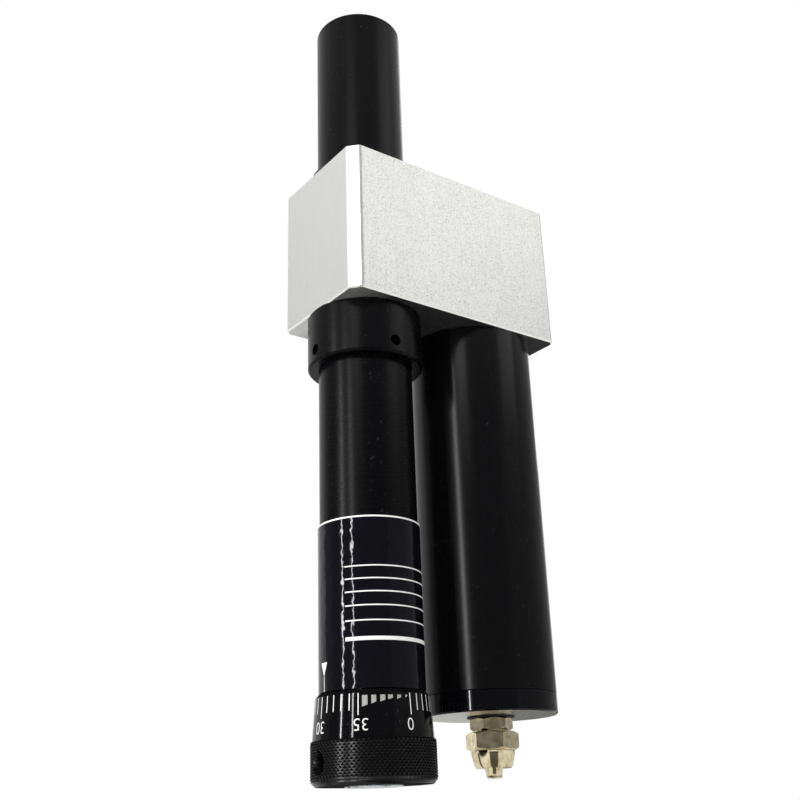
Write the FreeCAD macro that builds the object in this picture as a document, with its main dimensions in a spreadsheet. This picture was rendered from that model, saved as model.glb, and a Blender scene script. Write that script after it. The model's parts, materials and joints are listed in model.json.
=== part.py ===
import FreeCAD, Part
import Sketcher
import os
import re

# Hydraulic feed regulator with a parallel air-oil tank, clamped in one manifold block.
# The frame's origin is the middle of the four tapped holes in the block's back face.
# +Y points out of that face, +Z is the way the rod extends, +X runs towards the tank.

doc = FreeCAD.newDocument("FeedRegulator")
sheet = doc.addObject("Spreadsheet::Sheet", "Sizes")

# Driving sizes in millimetres and degrees: name, value, what it is
SIZES = [
    ("fit_gap", 0.05, "clearance of parts that are fixed in each other"),
    ("run_gap", 0.03, "radial clearance of parts that slide or turn"),
    ("cut_spare", 1, "how far a cut runs past what it cuts"),
    ("block_side", 0.5, "block's long faces outside the tank"),
    ("block_height", 62.5, "manifold block along Z"),
    ("block_corner", 4, "bevel of the block's upright edge at the front of the regulator's seat"),
    ("block_side_corner", 2, "bevel of its other upright edges"),
    ("block_bevel", 0.6, "bevel round the block's top and bottom"),
    ("end_wall", 3.5, "block's wall beside the regulator's tube"),
    ("far_wall", 1, "block's wall beyond the tank"),
    ("tube_spacing", 10, "room between the two tubes"),
    ("bolt_offset", 45, "regulator's axis to the middle of the mounting holes"),
    ("bolt_pitch_x", 40, "mounting holes along X"),
    ("bolt_pitch_z", 32.5, "mounting holes along Z"),
    ("bolt_hole", 5, "core hole of an M6 mounting thread"),
    ("bolt_depth", 12, "depth of a mounting hole"),
    ("feed_width", 8, "height of the oil groove round the regulator's seat"),
    ("feed_depth", 2, "depth of that groove"),
    ("feed_bore", 6, "oil passage from the groove to the tank"),
    ("plug_bore", 10, "bore of the passage plug"),
    ("plug_length", 8, "length of the passage plug"),
    ("plug_key", 4, "hexagon socket of the plug, across flats"),
    ("bleed_bore", 8.5, "bore of the bleed screw"),
    ("bleed_depth", 12, "depth of the bleed screw's bore"),
    ("bleed_key", 13, "bleed screw's hexagon across flats"),
    ("bleed_head", 5.3, "height of the bleed screw's hexagon"),
    ("bleed_spare", 1, "bore's room under the bleed screw"),
    ("bleed_seat", 1, "thickness of the bleed screw's washer"),
    ("bleed_seat_play", 0.2, "that washer's play on the screw"),
    ("bleed_seat_reach", 0.7, "how far that washer stands out of the hexagon's flats"),
    ("seal_spread", 17, "block seals above and below mid height"),
    ("tube_outer", 36, "regulator tube, outside diameter"),
    ("tube_wall", 3, "regulator tube's wall"),
    ("tube_above", 75.6, "tube above the block"),
    ("tube_below", 142.5, "tube below the block"),
    ("tube_bevel", 0.6, "bevel at the tube's ends"),
    ("tube_port", 5, "cross hole of the tube in the oil groove"),
    ("clip_depth", 1, "depth of the outer retaining ring's groove"),
    ("clip_height", 1.75, "outer retaining ring's thickness"),
    ("clip_reach", 2.6, "how far that ring stands out of the tube"),
    ("ring_open_turn", 30, "angle that the two retaining rings leave open"),
    ("ring_facing", 270, "angle of the arc's middle, opposite to that opening"),
    ("clip_ear_inset", 1.6, "outer ring's ear holes from its rim"),
    ("clip_ear_turn", 7, "those holes past the edge of the opening"),
    ("split_turn", 4, "angle that the piston ring and the wear ring leave open"),
    ("lock_wall", 4.2, "slotted lock ring's wall"),
    ("lock_height", 21.5, "lock ring's height"),
    ("lock_bevel", 0.8, "bevel of the lock ring's lower edge"),
    ("spanner_hole", 4.3, "pin spanner's hole in the lock ring"),
    ("spanner_depth", 3, "depth of that hole"),
    ("spanner_level", 5, "hole's height over the lock ring's lower face"),
    ("spanner_turn", -2.5, "angle that the lock ring stops at"),
    ("label_skin", 0.7, "wall of the label sleeve"),
    ("label_height", 59.1, "height of the label sleeve"),
    ("thread_step", 0.8, "how much the tube's threaded mouth is wider"),
    ("head_collar", 8, "height of the head's threaded collar"),
    ("head_land", 21.5, "tube's foot to the start of the return annulus"),
    ("head_seat", 30.5, "tube's foot to the pressure tube's seat"),
    ("head_lip", 2.5, "height of the lip in the pressure tube"),
    ("spigot_outer", 24, "head's neck inside the dial"),
    ("spigot_length", 13.5, "length of that neck"),
    ("collar_step", 2.5, "recess of the thrust collar outside the spindle"),
    ("collar_sink", 0.5, "recess floor under the pressure tube's seat"),
    ("collar_play", 0.5, "room round the thrust collar"),
    ("collar_height", 2.5, "height of the thrust collar"),
    ("spindle_size", 10, "metering spindle's diameter"),
    ("spindle_bore", 4.4, "oil bore in the spindle's upper end"),
    ("bore_below", 2, "how far that bore goes below the metering port"),
    ("upper_seal", 8, "spindle's upper seal below the metering port"),
    ("lower_seal", 17, "spindle's lower seal below the metering port"),
    ("feed_play", 0.1, "spindle's port under the head's, in radius"),
    ("wedge_depth", 1.6, "metering groove at its deep end"),
    ("wedge_height", 2, "width of the metering groove"),
    ("wedge_turn", 308, "arc of the metering groove"),
    ("meter_level", 24.5, "metering port over the tube's foot"),
    ("meter_port", 2, "metering port's diameter"),
    ("flat_depth", 0.4, "flat on the spindle for the set screw"),
    ("stud_bore", 5, "thread in the spindle's lower end"),
    ("stud_spare", 1, "room over the retaining screw's stud"),
    ("stud_depth", 10, "depth of that thread"),
    ("dial_gap", 0.5, "gap between tube and dial"),
    ("dial_height", 29.5, "adjusting dial's height"),
    ("dial_ledge", 0.2, "dial's top face outside the label"),
    ("dial_bevel", 0.96, "bevel over the scale's cone"),
    ("cone_spread", 1.1, "how much the cone widens"),
    ("dial_top_bevel", 1.1, "height of the bevel over the cone"),
    ("dial_waist", 0.6, "plain band between cone and grip"),
    ("grip_step", 0.74, "grip outside the cone"),
    ("grip_height", 14.3, "grip's height with its bevels"),
    ("grip_bevel", 0.4, "bevel over the grip"),
    ("grip_inset", 1.6, "bevel under the grip"),
    ("grip_foot_bevel", 1.5, "height of the lower bevel"),
    ("recess_gap", 0.5, "room round the head's neck"),
    ("dial_floor", 1, "gap between neck and recess floor"),
    ("dial_turn", 175.8, "angle of the set screw at the reading 30"),
    ("dial_travel", 44, "angle from the reading 30 to 35"),
    ("disc_size", 20, "retaining screw's head"),
    ("disc_height", 2.2, "height of that head"),
    ("disc_sink", 1.6, "how deep the head lies in the dial"),
    ("disc_play", 0.15, "room round that head in the dial"),
    ("disc_slot", 1.6, "width of its slot"),
    ("disc_slot_depth", 1.2, "depth of its slot"),
    ("set_level", 7.3, "set screw over the dial's foot"),
    ("set_mouth", 7.8, "mouth of the set screw's hole"),
    ("set_mouth_depth", 4.3, "depth of that mouth"),
    ("set_screw", 5, "set screw's diameter"),
    ("set_length", 8, "set screw's length"),
    ("set_key", 2.5, "set screw's hexagon socket"),
    ("return_gap", 2, "annulus round the pressure tube"),
    ("pressure_wall", 2, "pressure tube's wall"),
    ("mouth_depth", 5.6, "tube's end over the front cap"),
    ("return_hole", 3, "return holes at its upper end"),
    ("return_level", 10, "return holes under its upper end"),
    ("guide_length", 36, "rod guide's height over the pressure tube"),
    ("guide_spigot", 3.5, "guide's spigot in the pressure tube"),
    ("rod_room", 0.35, "guide's free bore round the rod"),
    ("bush_wall", 1.5, "guide bush's wall"),
    ("bush_length", 15, "guide bush's length"),
    ("seal_wall", 4, "rod seal's width"),
    ("seal_height", 7, "rod seal's height"),
    ("seal_notch", 0.7, "half width of the rod seal's notch"),
    ("guide_seal_drop", 8, "guide's outer seal under the guide's top"),
    ("seal_start", 20, "rod seal over the guide's seat"),
    ("cap_length", 36.5, "front cap's height over the guide"),
    ("wiper_wall", 3.5, "wiper's width"),
    ("wiper_lead", 0.4, "room at the foot of the wiper's bore"),
    ("wiper_land", 1, "height of the wiper's sealing edge under its housing"),
    ("wiper_rise", 0.9, "how far its lip stands out of the housing"),
    ("wiper_tip", 0.8, "width of the lip's end"),
    ("wiper_root", 1.6, "width of the lip's root"),
    ("wiper_height", 5, "depth of that housing"),
    ("ring_height", 1.2, "front retaining ring's thickness"),
    ("ring_depth", 0.7, "depth of its groove"),
    ("ring_reach", 2.8, "how far that ring stands into the tube"),
    ("ring_ear_inset", 1.4, "inner ring's ear holes from its inner rim"),
    ("ring_ear_turn", 9, "those holes past the edge of the opening"),
    ("rod_size", 12, "piston rod's diameter"),
    ("rod_reach", 7, "rod end over the tube when it is in"),
    ("tail_step", 2, "shoulder over the rod's threaded tail"),
    ("rod_bevel", 1, "bevel of the rod end"),
    ("flats_sink", 1, "depth of the rod end's spanner flats"),
    ("rod_flats_height", 4, "height of those flats"),
    ("rod_thread", 5, "core hole of the M6 thread in the rod end"),
    ("rod_thread_depth", 10, "depth of that thread"),
    ("stroke", 100, "rod's stroke"),
    ("stop_gap", 0.5, "room left at the end of the stroke"),
    ("stop_wall", 2.5, "stop tube's wall"),
    ("piston_rest", 12, "piston over the head's seat when the rod is in"),
    ("piston_length", 14, "piston's length"),
    ("piston_play", 0.1, "piston's diameter under the bore"),
    ("valve_hole", 2.2, "check hole's diameter"),
    ("valve_count", 6, "number of check holes"),
    ("ring_band", 3, "height of the piston ring's groove"),
    ("band_depth", 1.55, "depth of the piston ring's groove"),
    ("plate_room", 1.4, "room round the check plate"),
    ("plate_play", 0.1, "check plate's play on the nut"),
    ("plate_height", 1.2, "check plate's thickness"),
    ("plate_lift", 0.8, "check plate's travel"),
    ("hub_wall", 1.5, "wall of the piston nut's hub"),
    ("nut_spare", 0.15, "hub's height over plate and travel"),
    ("flange_room", 2, "room round the nut's flange"),
    ("nut_flange_height", 1, "height of that flange"),
    ("nut_key", 13, "piston nut across flats"),
    ("nut_height", 3.8, "height of its hexagon"),
    ("tank_outer", 50, "tank tube, outside diameter"),
    ("tank_wall", 3, "tank tube's wall"),
    ("tank_length", 141.4, "tank tube's length"),
    ("neck_size", 28, "tank head's neck in the block"),
    ("neck_height", 16, "height of that neck"),
    ("head_disc", 16, "tank head inside the tank tube"),
    ("head_bore", 8, "bore of the tank head"),
    ("separator_length", 24, "separator piston's length"),
    ("separator_play", 0.6, "separator's diameter under the bore"),
    ("separator_rest", 29.4, "separator over the cap's joint at rest"),
    ("separator_wall", 5.7, "separator's wall"),
    ("separator_cup_depth", 12, "depth of that hollow"),
    ("wear_band", 6, "height of the wear ring's groove"),
    ("wear_depth", 1.5, "depth of that groove"),
    ("cap_rim", 7.45, "tank cap's rim under the joint"),
    ("cap_spigot", 19.4, "cap's spigot in the tank tube"),
    ("cap_wall", 5.95, "wall of the cap's spigot"),
    ("cap_floor", 12, "cap's solid floor"),
    ("cap_bevel", 0.5, "bevel of the cap's lower edge"),
    ("stud_size", 9.73, "fitting's thread in the cap"),
    ("stud_length", 9, "length of that thread"),
    ("washer_outer", 17.8, "fitting's sealing washer"),
    ("washer_height", 0.5, "thickness of that washer"),
    ("body_key", 14, "fitting body across flats"),
    ("body_height", 4.55, "height of its hexagon"),
    ("hose_thread", 12, "fitting's thread under its nut"),
    ("hose_thread_length", 8.5, "length of that thread"),
    ("stem_size", 5.9, "hose stem's diameter"),
    ("stem_waist", 5.4, "stem's diameter inside the nut"),
    ("stem_length", 16.5, "stem's end under the body's hexagon"),
    ("stem_tip", 1.6, "straight end of the stem"),
    ("stem_barb", 6.8, "largest diameter of its barb"),
    ("barb_height", 1.9, "height of that barb"),
    ("stem_bevel", 0.4, "bevel of the stem's end"),
    ("thread_runout", 1, "taper under the fitting's thread"),
    ("stem_bore", 3.8, "air bore of the fitting"),
    ("hose_nut_gap", 0.4, "gap between the two hexagons"),
    ("hose_nut_key", 17, "hose nut across flats"),
    ("hose_nut_hex", 6.5, "height of its hexagon"),
    ("nut_wall", 2.1, "nut's wall at its shoulder"),
    ("nut_shoulder", 1, "height of that shoulder"),
    ("nut_taper", 0.9, "how much the nut tapers in"),
    ("nut_bevel", 0.7, "bevel of the nut's lower end"),
    ("nut_end", 1.4, "height of that bevel"),
    ("nut_cone", 1.2, "height of the cone in the nut's bore"),
    ("hose_nut_turn", 44, "angle that the nut stops at"),
    ("hose_nut_height", 12.7, "nut's height"),
    ("hose_nut_mouth", 8.2, "nut's mouth for the hose"),
    ("cord_large", 2, "O-ring section of the tube and tank seals"),
    ("cord_small", 1.4, "O-ring section of the spindle seals"),
    ("cord_room", 1.3, "groove's width as a multiple of its O-ring's section"),
    ("cord_squeeze", 0.1, "how much less than its section a groove is deep"),
]

VALUES = {}
for row, (name, value, note) in enumerate(SIZES, start=1):
    sheet.set(f"A{row}", name)
    sheet.set(f"B{row}", str(value))
    sheet.set(f"C{row}", note)
    sheet.setAlias(f"B{row}", name)
    VALUES[name] = value
doc.recompute()

# Sizes that follow from the sheet's, each written out where an expression names it
FOLLOWING = {
    "block_width": "(tank_outer + 2 * block_side)",
    "end_margin": "(tube_outer / 2 + end_wall)",
    "tank_offset": "(tube_outer / 2 + tube_spacing + tank_outer / 2)",
    "block_length": "(end_margin + tank_offset + tank_outer / 2 + far_wall)",
    "tube_inner": "(tube_outer - 2 * tube_wall)",
    "tube_length": "(tube_below + block_height + tube_above)",
    "clip_outer": "(tube_outer + 2 * clip_reach)",
    "lock_outer": "(tube_outer + 2 * lock_wall)",
    "head_thread": "(tube_inner + 2 * thread_step)",
    "collar_recess": "(spindle_size + 2 * collar_step)",
    "dial_top": "(tube_outer + 2 * label_skin + 2 * dial_ledge)",
    "dial_cone_top": "(dial_top + 2 * dial_bevel)",
    "dial_cone_foot": "(dial_cone_top + 2 * cone_spread)",
    "grip_outer": "(dial_cone_foot + 2 * grip_step)",
    "grip_foot": "(grip_outer - 2 * grip_inset)",
    "dial_recess": "(spigot_outer + 2 * recess_gap)",
    "pressure_outer": "(tube_inner - 2 * return_gap)",
    "pressure_inner": "(pressure_outer - 2 * pressure_wall)",
    "pressure_length": "(tube_length - head_seat - guide_length - cap_length - mouth_depth)",
    "guide_relief": "(rod_size + 2 * rod_room)",
    "bush_outer": "(rod_size + 2 * bush_wall)",
    "seal_outer": "(rod_size + 2 * seal_wall)",
    "wiper_outer": "(rod_size + 2 * wiper_wall)",
    "ring_inner": "(tube_inner - 2 * ring_reach)",
    "rod_tail": "(rod_size - 2 * tail_step)",
    "rod_flats": "(rod_size - 2 * flats_sink)",
    "stop_outer": "(rod_size + 2 * stop_wall)",
    "ring_floor": "(pressure_inner - piston_play - 2 * band_depth)",
    "plate_outer": "(pressure_inner - 2 * plate_room)",
    "nut_hub": "(rod_tail + 2 * hub_wall)",
    "plate_inner": "(nut_hub + 2 * plate_play)",
    "valve_circle": "((plate_inner + plate_outer) / 2)",
    "nut_flange": "(pressure_inner - 2 * flange_room)",
    "tank_inner": "(tank_outer - 2 * tank_wall)",
    "separator_cup": "(tank_inner - separator_play - 2 * separator_wall)",
    "cap_cup": "(tank_inner - 2 * fit_gap - 2 * cap_wall)",
    "hose_nut_collar": "(hose_thread + 2 * nut_wall)",
    "hose_nut_waist": "(hose_nut_collar - 2 * nut_taper)",
    "hose_nut_foot": "(hose_nut_waist - 2 * nut_bevel)",
}

# Levels along Z in the frame, each worked out from the sheet
BLOCK_TOP = "(block_height / 2)"
BLOCK_FOOT = "(0 - block_height / 2)"
TUBE_TOP = "(block_height / 2 + tube_above)"
TUBE_FOOT = "(0 - block_height / 2 - tube_below)"
OIL_LEVEL = "(tube_below + block_height / 2)"
HEAD_SEAT = f"({TUBE_FOOT} + head_seat)"
GUIDE_SEAT = f"({HEAD_SEAT} + pressure_length)"
CAP_SEAT = f"({GUIDE_SEAT} + guide_length)"
PISTON_FOOT = f"({HEAD_SEAT} + piston_rest)"
PISTON_TOP = f"({PISTON_FOOT} + piston_length)"
RING_SEAT = f"({CAP_SEAT} + cap_length)"
DIAL_FOOT = f"({TUBE_FOOT} - dial_gap - dial_height)"
SPINDLE_FOOT = f"({DIAL_FOOT} + disc_sink)"
COLLAR_SEAT = f"({HEAD_SEAT} - collar_sink)"
TANK_FOOT = "(0 - block_height / 2 - tank_length)"
CAP_FOOT = f"({TANK_FOOT} - cap_rim)"
BODY_TOP = f"({CAP_FOOT} - washer_height)"

# The two upright axes in plan
REGULATOR = ("0 - bolt_offset", "0 - block_width / 2")
TANK = ("tank_offset - bolt_offset", "0 - block_width / 2")

# Radii and seal grooves that several pieces share
TUBE_R = "tube_outer / 2"
BORE_R = "tube_inner / 2"
FREE_R = "(tube_inner / 2 - fit_gap)"
LARGE_DEPTH = "(cord_large - cord_squeeze)"
LARGE_WIDTH = "(cord_large * cord_room)"
SMALL_DEPTH = "(cord_small - cord_squeeze)"
SMALL_WIDTH = "(cord_small * cord_room)"

PARTS = []


def tie(text):
    """Write an expression out in the sheet's own names."""
    def spell(match):
        word = match.group()
        if word in FOLLOWING:
            return tie(FOLLOWING[word])
        return "Sizes." + word if word in VALUES else word
    return re.sub(r"[a-z_]+", spell, str(text))


def number(text):
    """Work out an expression from the sheet."""
    return float(sheet.evalExpression(tie(text)))


def new_body(label):
    """Start a sub-part as a body of its own."""
    body = doc.addObject("PartDesign::Body", label)
    body.Label = label
    PARTS.append(body)
    return body


def put(piece, spot, level, turn=None):
    """Tie a sub-part's place and its turn about Z to the sheet."""
    if turn is not None:
        upright = FreeCAD.Vector(0, 0, 1)
        piece.Placement = FreeCAD.Placement(FreeCAD.Vector(), FreeCAD.Rotation(upright, number(turn)))
        piece.setExpression("Placement.Rotation.Angle", tie(turn))
    piece.setExpression("Placement.Base.x", tie(spot[0]))
    piece.setExpression("Placement.Base.y", tie(spot[1]))
    piece.setExpression("Placement.Base.z", tie(level))


def sketch_on(body, name, role, offset=None):
    """Attach a new sketch to one of the body's own planes, moved along its normal."""
    sketch = body.newObject("Sketcher::SketchObject", name)
    plane = [feature for feature in body.Origin.OriginFeatures if feature.Role == role][0]
    sketch.AttachmentSupport = [(plane, "")]
    sketch.MapMode = "FlatFace"
    if offset is not None:
        sketch.setExpression("AttachmentOffset.Base.z", tie(offset))
    return sketch


def bind_point(sketch, geometry, end, x, y):
    """Hold one end of a line, or a circle's centre, at a place from the sheet."""
    for kind, axis, text in (("DistanceX", -2, x), ("DistanceY", -1, y)):
        if str(text) == "0":
            sketch.addConstraint(Sketcher.Constraint("PointOnObject", geometry, end, axis))
            continue
        place = sketch.addConstraint(Sketcher.Constraint(kind, -1, 1, geometry, end, number(text)))
        sketch.setExpression(f"Constraints[{place}]", tie(text))


def outline(sketch, points):
    """Draw a closed outline of straight lines with each corner tied to the sheet."""
    corners = [FreeCAD.Vector(number(x), number(y), 0) for x, y in points]
    count = len(corners)
    first = sketch.GeometryCount
    for i in range(count):
        sketch.addGeometry(Part.LineSegment(corners[i], corners[(i + 1) % count]), False)
    for i in range(count):
        following = first + (i + 1) % count
        sketch.addConstraint(Sketcher.Constraint("Coincident", first + i, 2, following, 1))
    for i, (x, y) in enumerate(points):
        bind_point(sketch, first + i, 1, x, y)


def circle(sketch, x, y, radius):
    """Draw a circle with its centre and radius tied to the sheet."""
    middle = FreeCAD.Vector(number(x), number(y), 0)
    place = sketch.addGeometry(Part.Circle(middle, FreeCAD.Vector(0, 0, 1), number(radius)), False)
    bind_point(sketch, place, 3, x, y)
    size = sketch.addConstraint(Sketcher.Constraint("Radius", place, number(radius)))
    sketch.setExpression(f"Constraints[{size}]", tie(radius))


def axis_line(sketch, x0, y0, x1, y1):
    """Draw a construction line to turn a profile about."""
    ends = [FreeCAD.Vector(number(x), number(y), 0) for x, y in ((x0, y0), (x1, y1))]
    place = sketch.addGeometry(Part.LineSegment(ends[0], ends[1]), True)
    bind_point(sketch, place, 1, x0, y0)
    bind_point(sketch, place, 2, x1, y1)


def hexagon(sketch, across):
    """Draw a hexagon round the sketch's origin."""
    corner = f"({across}) / 2 / cos(30 deg)"
    spots = []
    for step in range(6):
        angle = 60 * step
        x = "0" if angle == 90 else f"{corner} * cos({angle} deg)"
        y = "0" if angle in (0, 180) else f"{corner} * sin({angle} deg)"
        spots.append((x, y))
    outline(sketch, spots)


def turned(body, name, points, turn="360"):
    """Turn a profile of radius and height about the body's Z axis."""
    sketch = sketch_on(body, name + "_profile", "XZ_Plane")
    outline(sketch, points)
    feature = body.newObject("PartDesign::Revolution", name)
    feature.Profile = sketch
    feature.ReferenceAxis = (sketch, ["V_Axis"])
    feature.Angle = number(turn)
    if turn != "360":
        feature.setExpression("Angle", tie(turn))
        feature.Midplane = True
    return feature


def turned_cut(body, name, points, axis=None, turned_about="V_Axis"):
    """Cut a groove, or a stepped bore, by turning a profile."""
    sketch = sketch_on(body, name + "_profile", "XZ_Plane")
    outline(sketch, points)
    if axis is not None:
        axis_line(sketch, *axis)
        turned_about = "Axis0"
    feature = body.newObject("PartDesign::Groove", name)
    feature.Profile = sketch
    feature.ReferenceAxis = (sketch, [turned_about])
    feature.Angle = 360
    doc.recompute()
    return feature


def cut(body, name, sketch, depth=None, both=False, flipped=False):
    """Cut a sketch to a depth, or through all, and see that something was removed."""
    doc.recompute()
    before = body.Shape.Volume
    feature = body.newObject("PartDesign::Pocket", name)
    feature.Profile = sketch
    feature.Midplane = both
    feature.Reversed = flipped
    if depth is None:
        feature.Type = 1
    else:
        feature.setExpression("Length", tie(depth))
    doc.recompute()
    if not body.Shape.Volume < before - 1e-3:
        raise RuntimeError(f"{body.Label}: {name} cuts nothing")
    return feature


def pad(body, name, sketch, height, flipped=False):
    """Raise a sketch to a height."""
    feature = body.newObject("PartDesign::Pad", name)
    feature.Profile = sketch
    feature.Reversed = flipped
    feature.setExpression("Length", tie(height))
    doc.recompute()
    return feature


def around(body, name, feature, count):
    """Repeat a cut round the body's Z axis."""
    pattern = body.newObject("PartDesign::PolarPattern", name)
    pattern.Originals = [feature]
    pattern.Axis = ([item for item in body.Origin.OriginFeatures if item.Role == "Z_Axis"][0], [""])
    pattern.Angle = 360
    if count in VALUES:
        pattern.setExpression("Occurrences", tie(count))
    else:
        pattern.Occurrences = count
    body.Tip = pattern
    doc.recompute()
    return pattern


def ring_shape(label, inner, outer, height, spot, level, angle="360", turn=None):
    """Make a plain ring, whole or with a gap."""
    body = new_body(label)
    turned(body, "Ring", [(inner, "0"), (outer, "0"), (outer, height), (inner, height)], angle)
    put(body, spot, level, turn)
    return body


def o_ring(label, radius, cord, spot, level, inside=False):
    """Make one O-ring as it lies squeezed in a groove: outside a shaft, or inside a bore."""
    ring = doc.addObject("PartDesign::Body", label)
    ring.Label = label
    sign = "+" if inside else "-"
    near, far = f"{radius} {sign} fit_gap", f"{radius} {sign} ({cord} - cord_squeeze)"
    middle = f"{radius} {sign} ({cord} - cord_squeeze + fit_gap) / 2"
    half = f"({cord} - cord_squeeze - fit_gap) / 2"
    turned(ring, label + "_ring", [
        (near, f"0 - {half} / 2"), (middle, f"0 - {half}"), (far, f"0 - {half} / 2"),
        (far, f"{half} / 2"), (middle, half), (near, f"{half} / 2"),
    ])
    put(ring, spot, level)
    return ring


def gather(label, pieces):
    """Hold a group of like pieces as one node."""
    group = doc.addObject("Part::Compound", label)
    group.Label = label
    group.Links = pieces
    PARTS.append(group)


def groove(radius, depth, low, width):
    """Give the four corners of a seal groove in an outline that runs upwards."""
    floor = f"{radius} - {depth}"
    high = f"{low} + {width}"
    return [(radius, low), (floor, low), (floor, high), (radius, high)]


def upright_edges(shape):
    """Name the edges along Z, the one at the least X and Y first."""
    found = []
    for count, edge in enumerate(shape.Edges, 1):
        middle = edge.CenterOfMass
        if abs(edge.tangentAt(edge.FirstParameter).z) > 0.9:
            found.append((middle.x + middle.y, f"Edge{count}"))
    return [name for reach, name in sorted(found)]


def manifold_block():
    """Machined block with both seats, the oil passages and the tapped back face."""
    body = new_body("manifold_block")
    plan = sketch_on(body, "Plan", "XY_Plane")
    near, far = "0 - end_margin", "block_length - end_margin"
    front, back = "0 - block_width / 2", "block_width / 2"
    outline(plan, [(near, front), (far, front), (far, back), (near, back)])
    blank = pad(body, "Blank", plan, "block_height")
    sides = body.newObject("PartDesign::Chamfer", "SideCorners")
    sides.Base = (blank, upright_edges(blank.Shape)[1:])
    sides.setExpression("Size", tie("block_side_corner"))
    doc.recompute()
    corners = body.newObject("PartDesign::Chamfer", "FrontCorner")
    corners.Base = (sides, upright_edges(sides.Shape)[:1])
    corners.setExpression("Size", tie("block_corner"))
    doc.recompute()
    shape = corners.Shape
    flat = [f"Edge{i}" for i, e in enumerate(shape.Edges, 1) if e.BoundBox.ZLength < 1e-6]
    bevel = body.newObject("PartDesign::Chamfer", "Bevels")
    bevel.Base = (corners, flat)
    bevel.setExpression("Size", tie("block_bevel"))
    doc.recompute()
    seat = f"({TUBE_R} + fit_gap)"
    seal = f"({TUBE_R} + {LARGE_DEPTH})"
    middle = "block_height / 2"
    points = [("0", "0"), (seat, "0")]
    for radius, level, width in (
        (seal, f"{middle} - seal_spread", LARGE_WIDTH),
        (f"{TUBE_R} + feed_depth", middle, "feed_width"),
        (seal, f"{middle} + seal_spread", LARGE_WIDTH),
    ):
        low, high = f"{level} - {width} / 2", f"{level} + {width} / 2"
        points += [(seat, low), (radius, low), (radius, high), (seat, high)]
    points += [(seat, "block_height"), ("0", "block_height")]
    turned_cut(body, "RegulatorSeat", points)
    neck, passage, bleed = "neck_size / 2 + fit_gap", "feed_bore / 2", "bleed_bore / 2"
    floor, port = "neck_height + 1", "block_height - bleed_depth"
    steps = [
        (f"tank_offset + {neck}", "0"), (f"tank_offset + {neck}", floor),
        (f"tank_offset + {passage}", floor), (f"tank_offset + {passage}", port),
        (f"tank_offset + {bleed}", port), (f"tank_offset + {bleed}", "block_height"),
    ]
    points = [("tank_offset", "0")] + steps + [("tank_offset", "block_height")]
    turned_cut(body, "TankSeat", points, ("tank_offset", "0", "tank_offset", "block_height"))
    step = "block_length - end_margin - plug_length"
    side, plug = f"{middle} + feed_bore / 2", f"{middle} + plug_bore / 2"
    points = [("0", middle), ("0", side), (step, side), (step, plug), (far, plug), (far, middle)]
    turned_cut(body, "CrossPassage", points, ("0", middle, far, middle))
    holes = sketch_on(body, "MountingHoles", "XZ_Plane", "0 - block_width / 2")
    for across in ("- bolt_pitch_x / 2", "+ bolt_pitch_x / 2"):
        for up in ("- bolt_pitch_z / 2", "+ bolt_pitch_z / 2"):
            circle(holes, f"bolt_offset {across}", f"{middle} {up}", "bolt_hole / 2")
    cut(body, "Mounting", holes, "bolt_depth", flipped=True)
    put(body, REGULATOR, BLOCK_FOOT)


def regulator_tube():
    """Outer tube, with the head's thread, both ring grooves and the oil ports."""
    body = new_body("regulator_tube")
    clip = f"({TUBE_R} - clip_depth)"
    clip_low = "tube_below + block_height"
    clip_high = f"{clip_low} + clip_height + fit_gap"
    ring_low = f"({RING_SEAT} - {TUBE_FOOT})"
    ring_high = f"{ring_low} + ring_height + fit_gap"
    ring = f"{BORE_R} + ring_depth"
    top, bevel = "tube_length", "tube_bevel"
    mouth = "head_thread / 2"
    turned(body, "Tube", [
        (mouth, "0"), (f"{TUBE_R} - {bevel}", "0"), (TUBE_R, bevel),
        (TUBE_R, clip_low), (clip, clip_low), (clip, clip_high), (TUBE_R, clip_high),
        (TUBE_R, f"{top} - {bevel}"), (f"{TUBE_R} - {bevel}", top), (BORE_R, top),
        (BORE_R, ring_high), (ring, ring_high), (ring, ring_low), (BORE_R, ring_low),
        (BORE_R, "head_collar"), (mouth, "head_collar"),
    ])
    for name, role in (("PortsAlong", "XZ_Plane"), ("PortsAcross", "YZ_Plane")):
        ports = sketch_on(body, name + "_sketch", role)
        circle(ports, "0", OIL_LEVEL, "tube_port / 2")
        cut(body, name, ports, both=True)
    put(body, REGULATOR, TUBE_FOOT)


def tube_fasteners():
    """Retaining ring over the block and lock ring under it."""
    clip = ring_shape(
        "upper_retaining_ring", f"{TUBE_R} - clip_depth + fit_gap", "clip_outer / 2", "clip_height",
        REGULATOR, BLOCK_TOP, "(360 - ring_open_turn)", "ring_facing",
    )
    ears = sketch_on(clip, "EarHoles", "XY_Plane")
    for side in ("+", "-"):
        middle, angle = "(clip_outer / 2 - clip_ear_inset)", "((ring_open_turn / 2 + clip_ear_turn) * 1 deg)"
        circle(ears, f"0 - {middle} * cos{angle}", f"0 {side} {middle} * sin{angle}", "clip_depth / 2")
    cut(clip, "Ears", ears, both=True)
    ring = new_body("lock_ring")
    inner, outer = f"{TUBE_R} + fit_gap", "lock_outer / 2"
    small = "lock_bevel / 2"
    turned(ring, "Ring", [
        (inner, "0"), (f"{outer} - lock_bevel", "0"), (outer, "lock_bevel"),
        (outer, f"lock_height - {small}"), (f"{outer} - {small}", "lock_height"), (inner, "lock_height"),
    ])
    hole = sketch_on(ring, "SpannerHole", "XZ_Plane", outer)
    circle(hole, "0", "spanner_level", "spanner_hole / 2")
    around(ring, "SpannerHoles", cut(ring, "Spanner", hole, "spanner_depth"), 4)
    put(ring, REGULATOR, f"{BLOCK_FOOT} - lock_height", "spanner_turn")


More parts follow.
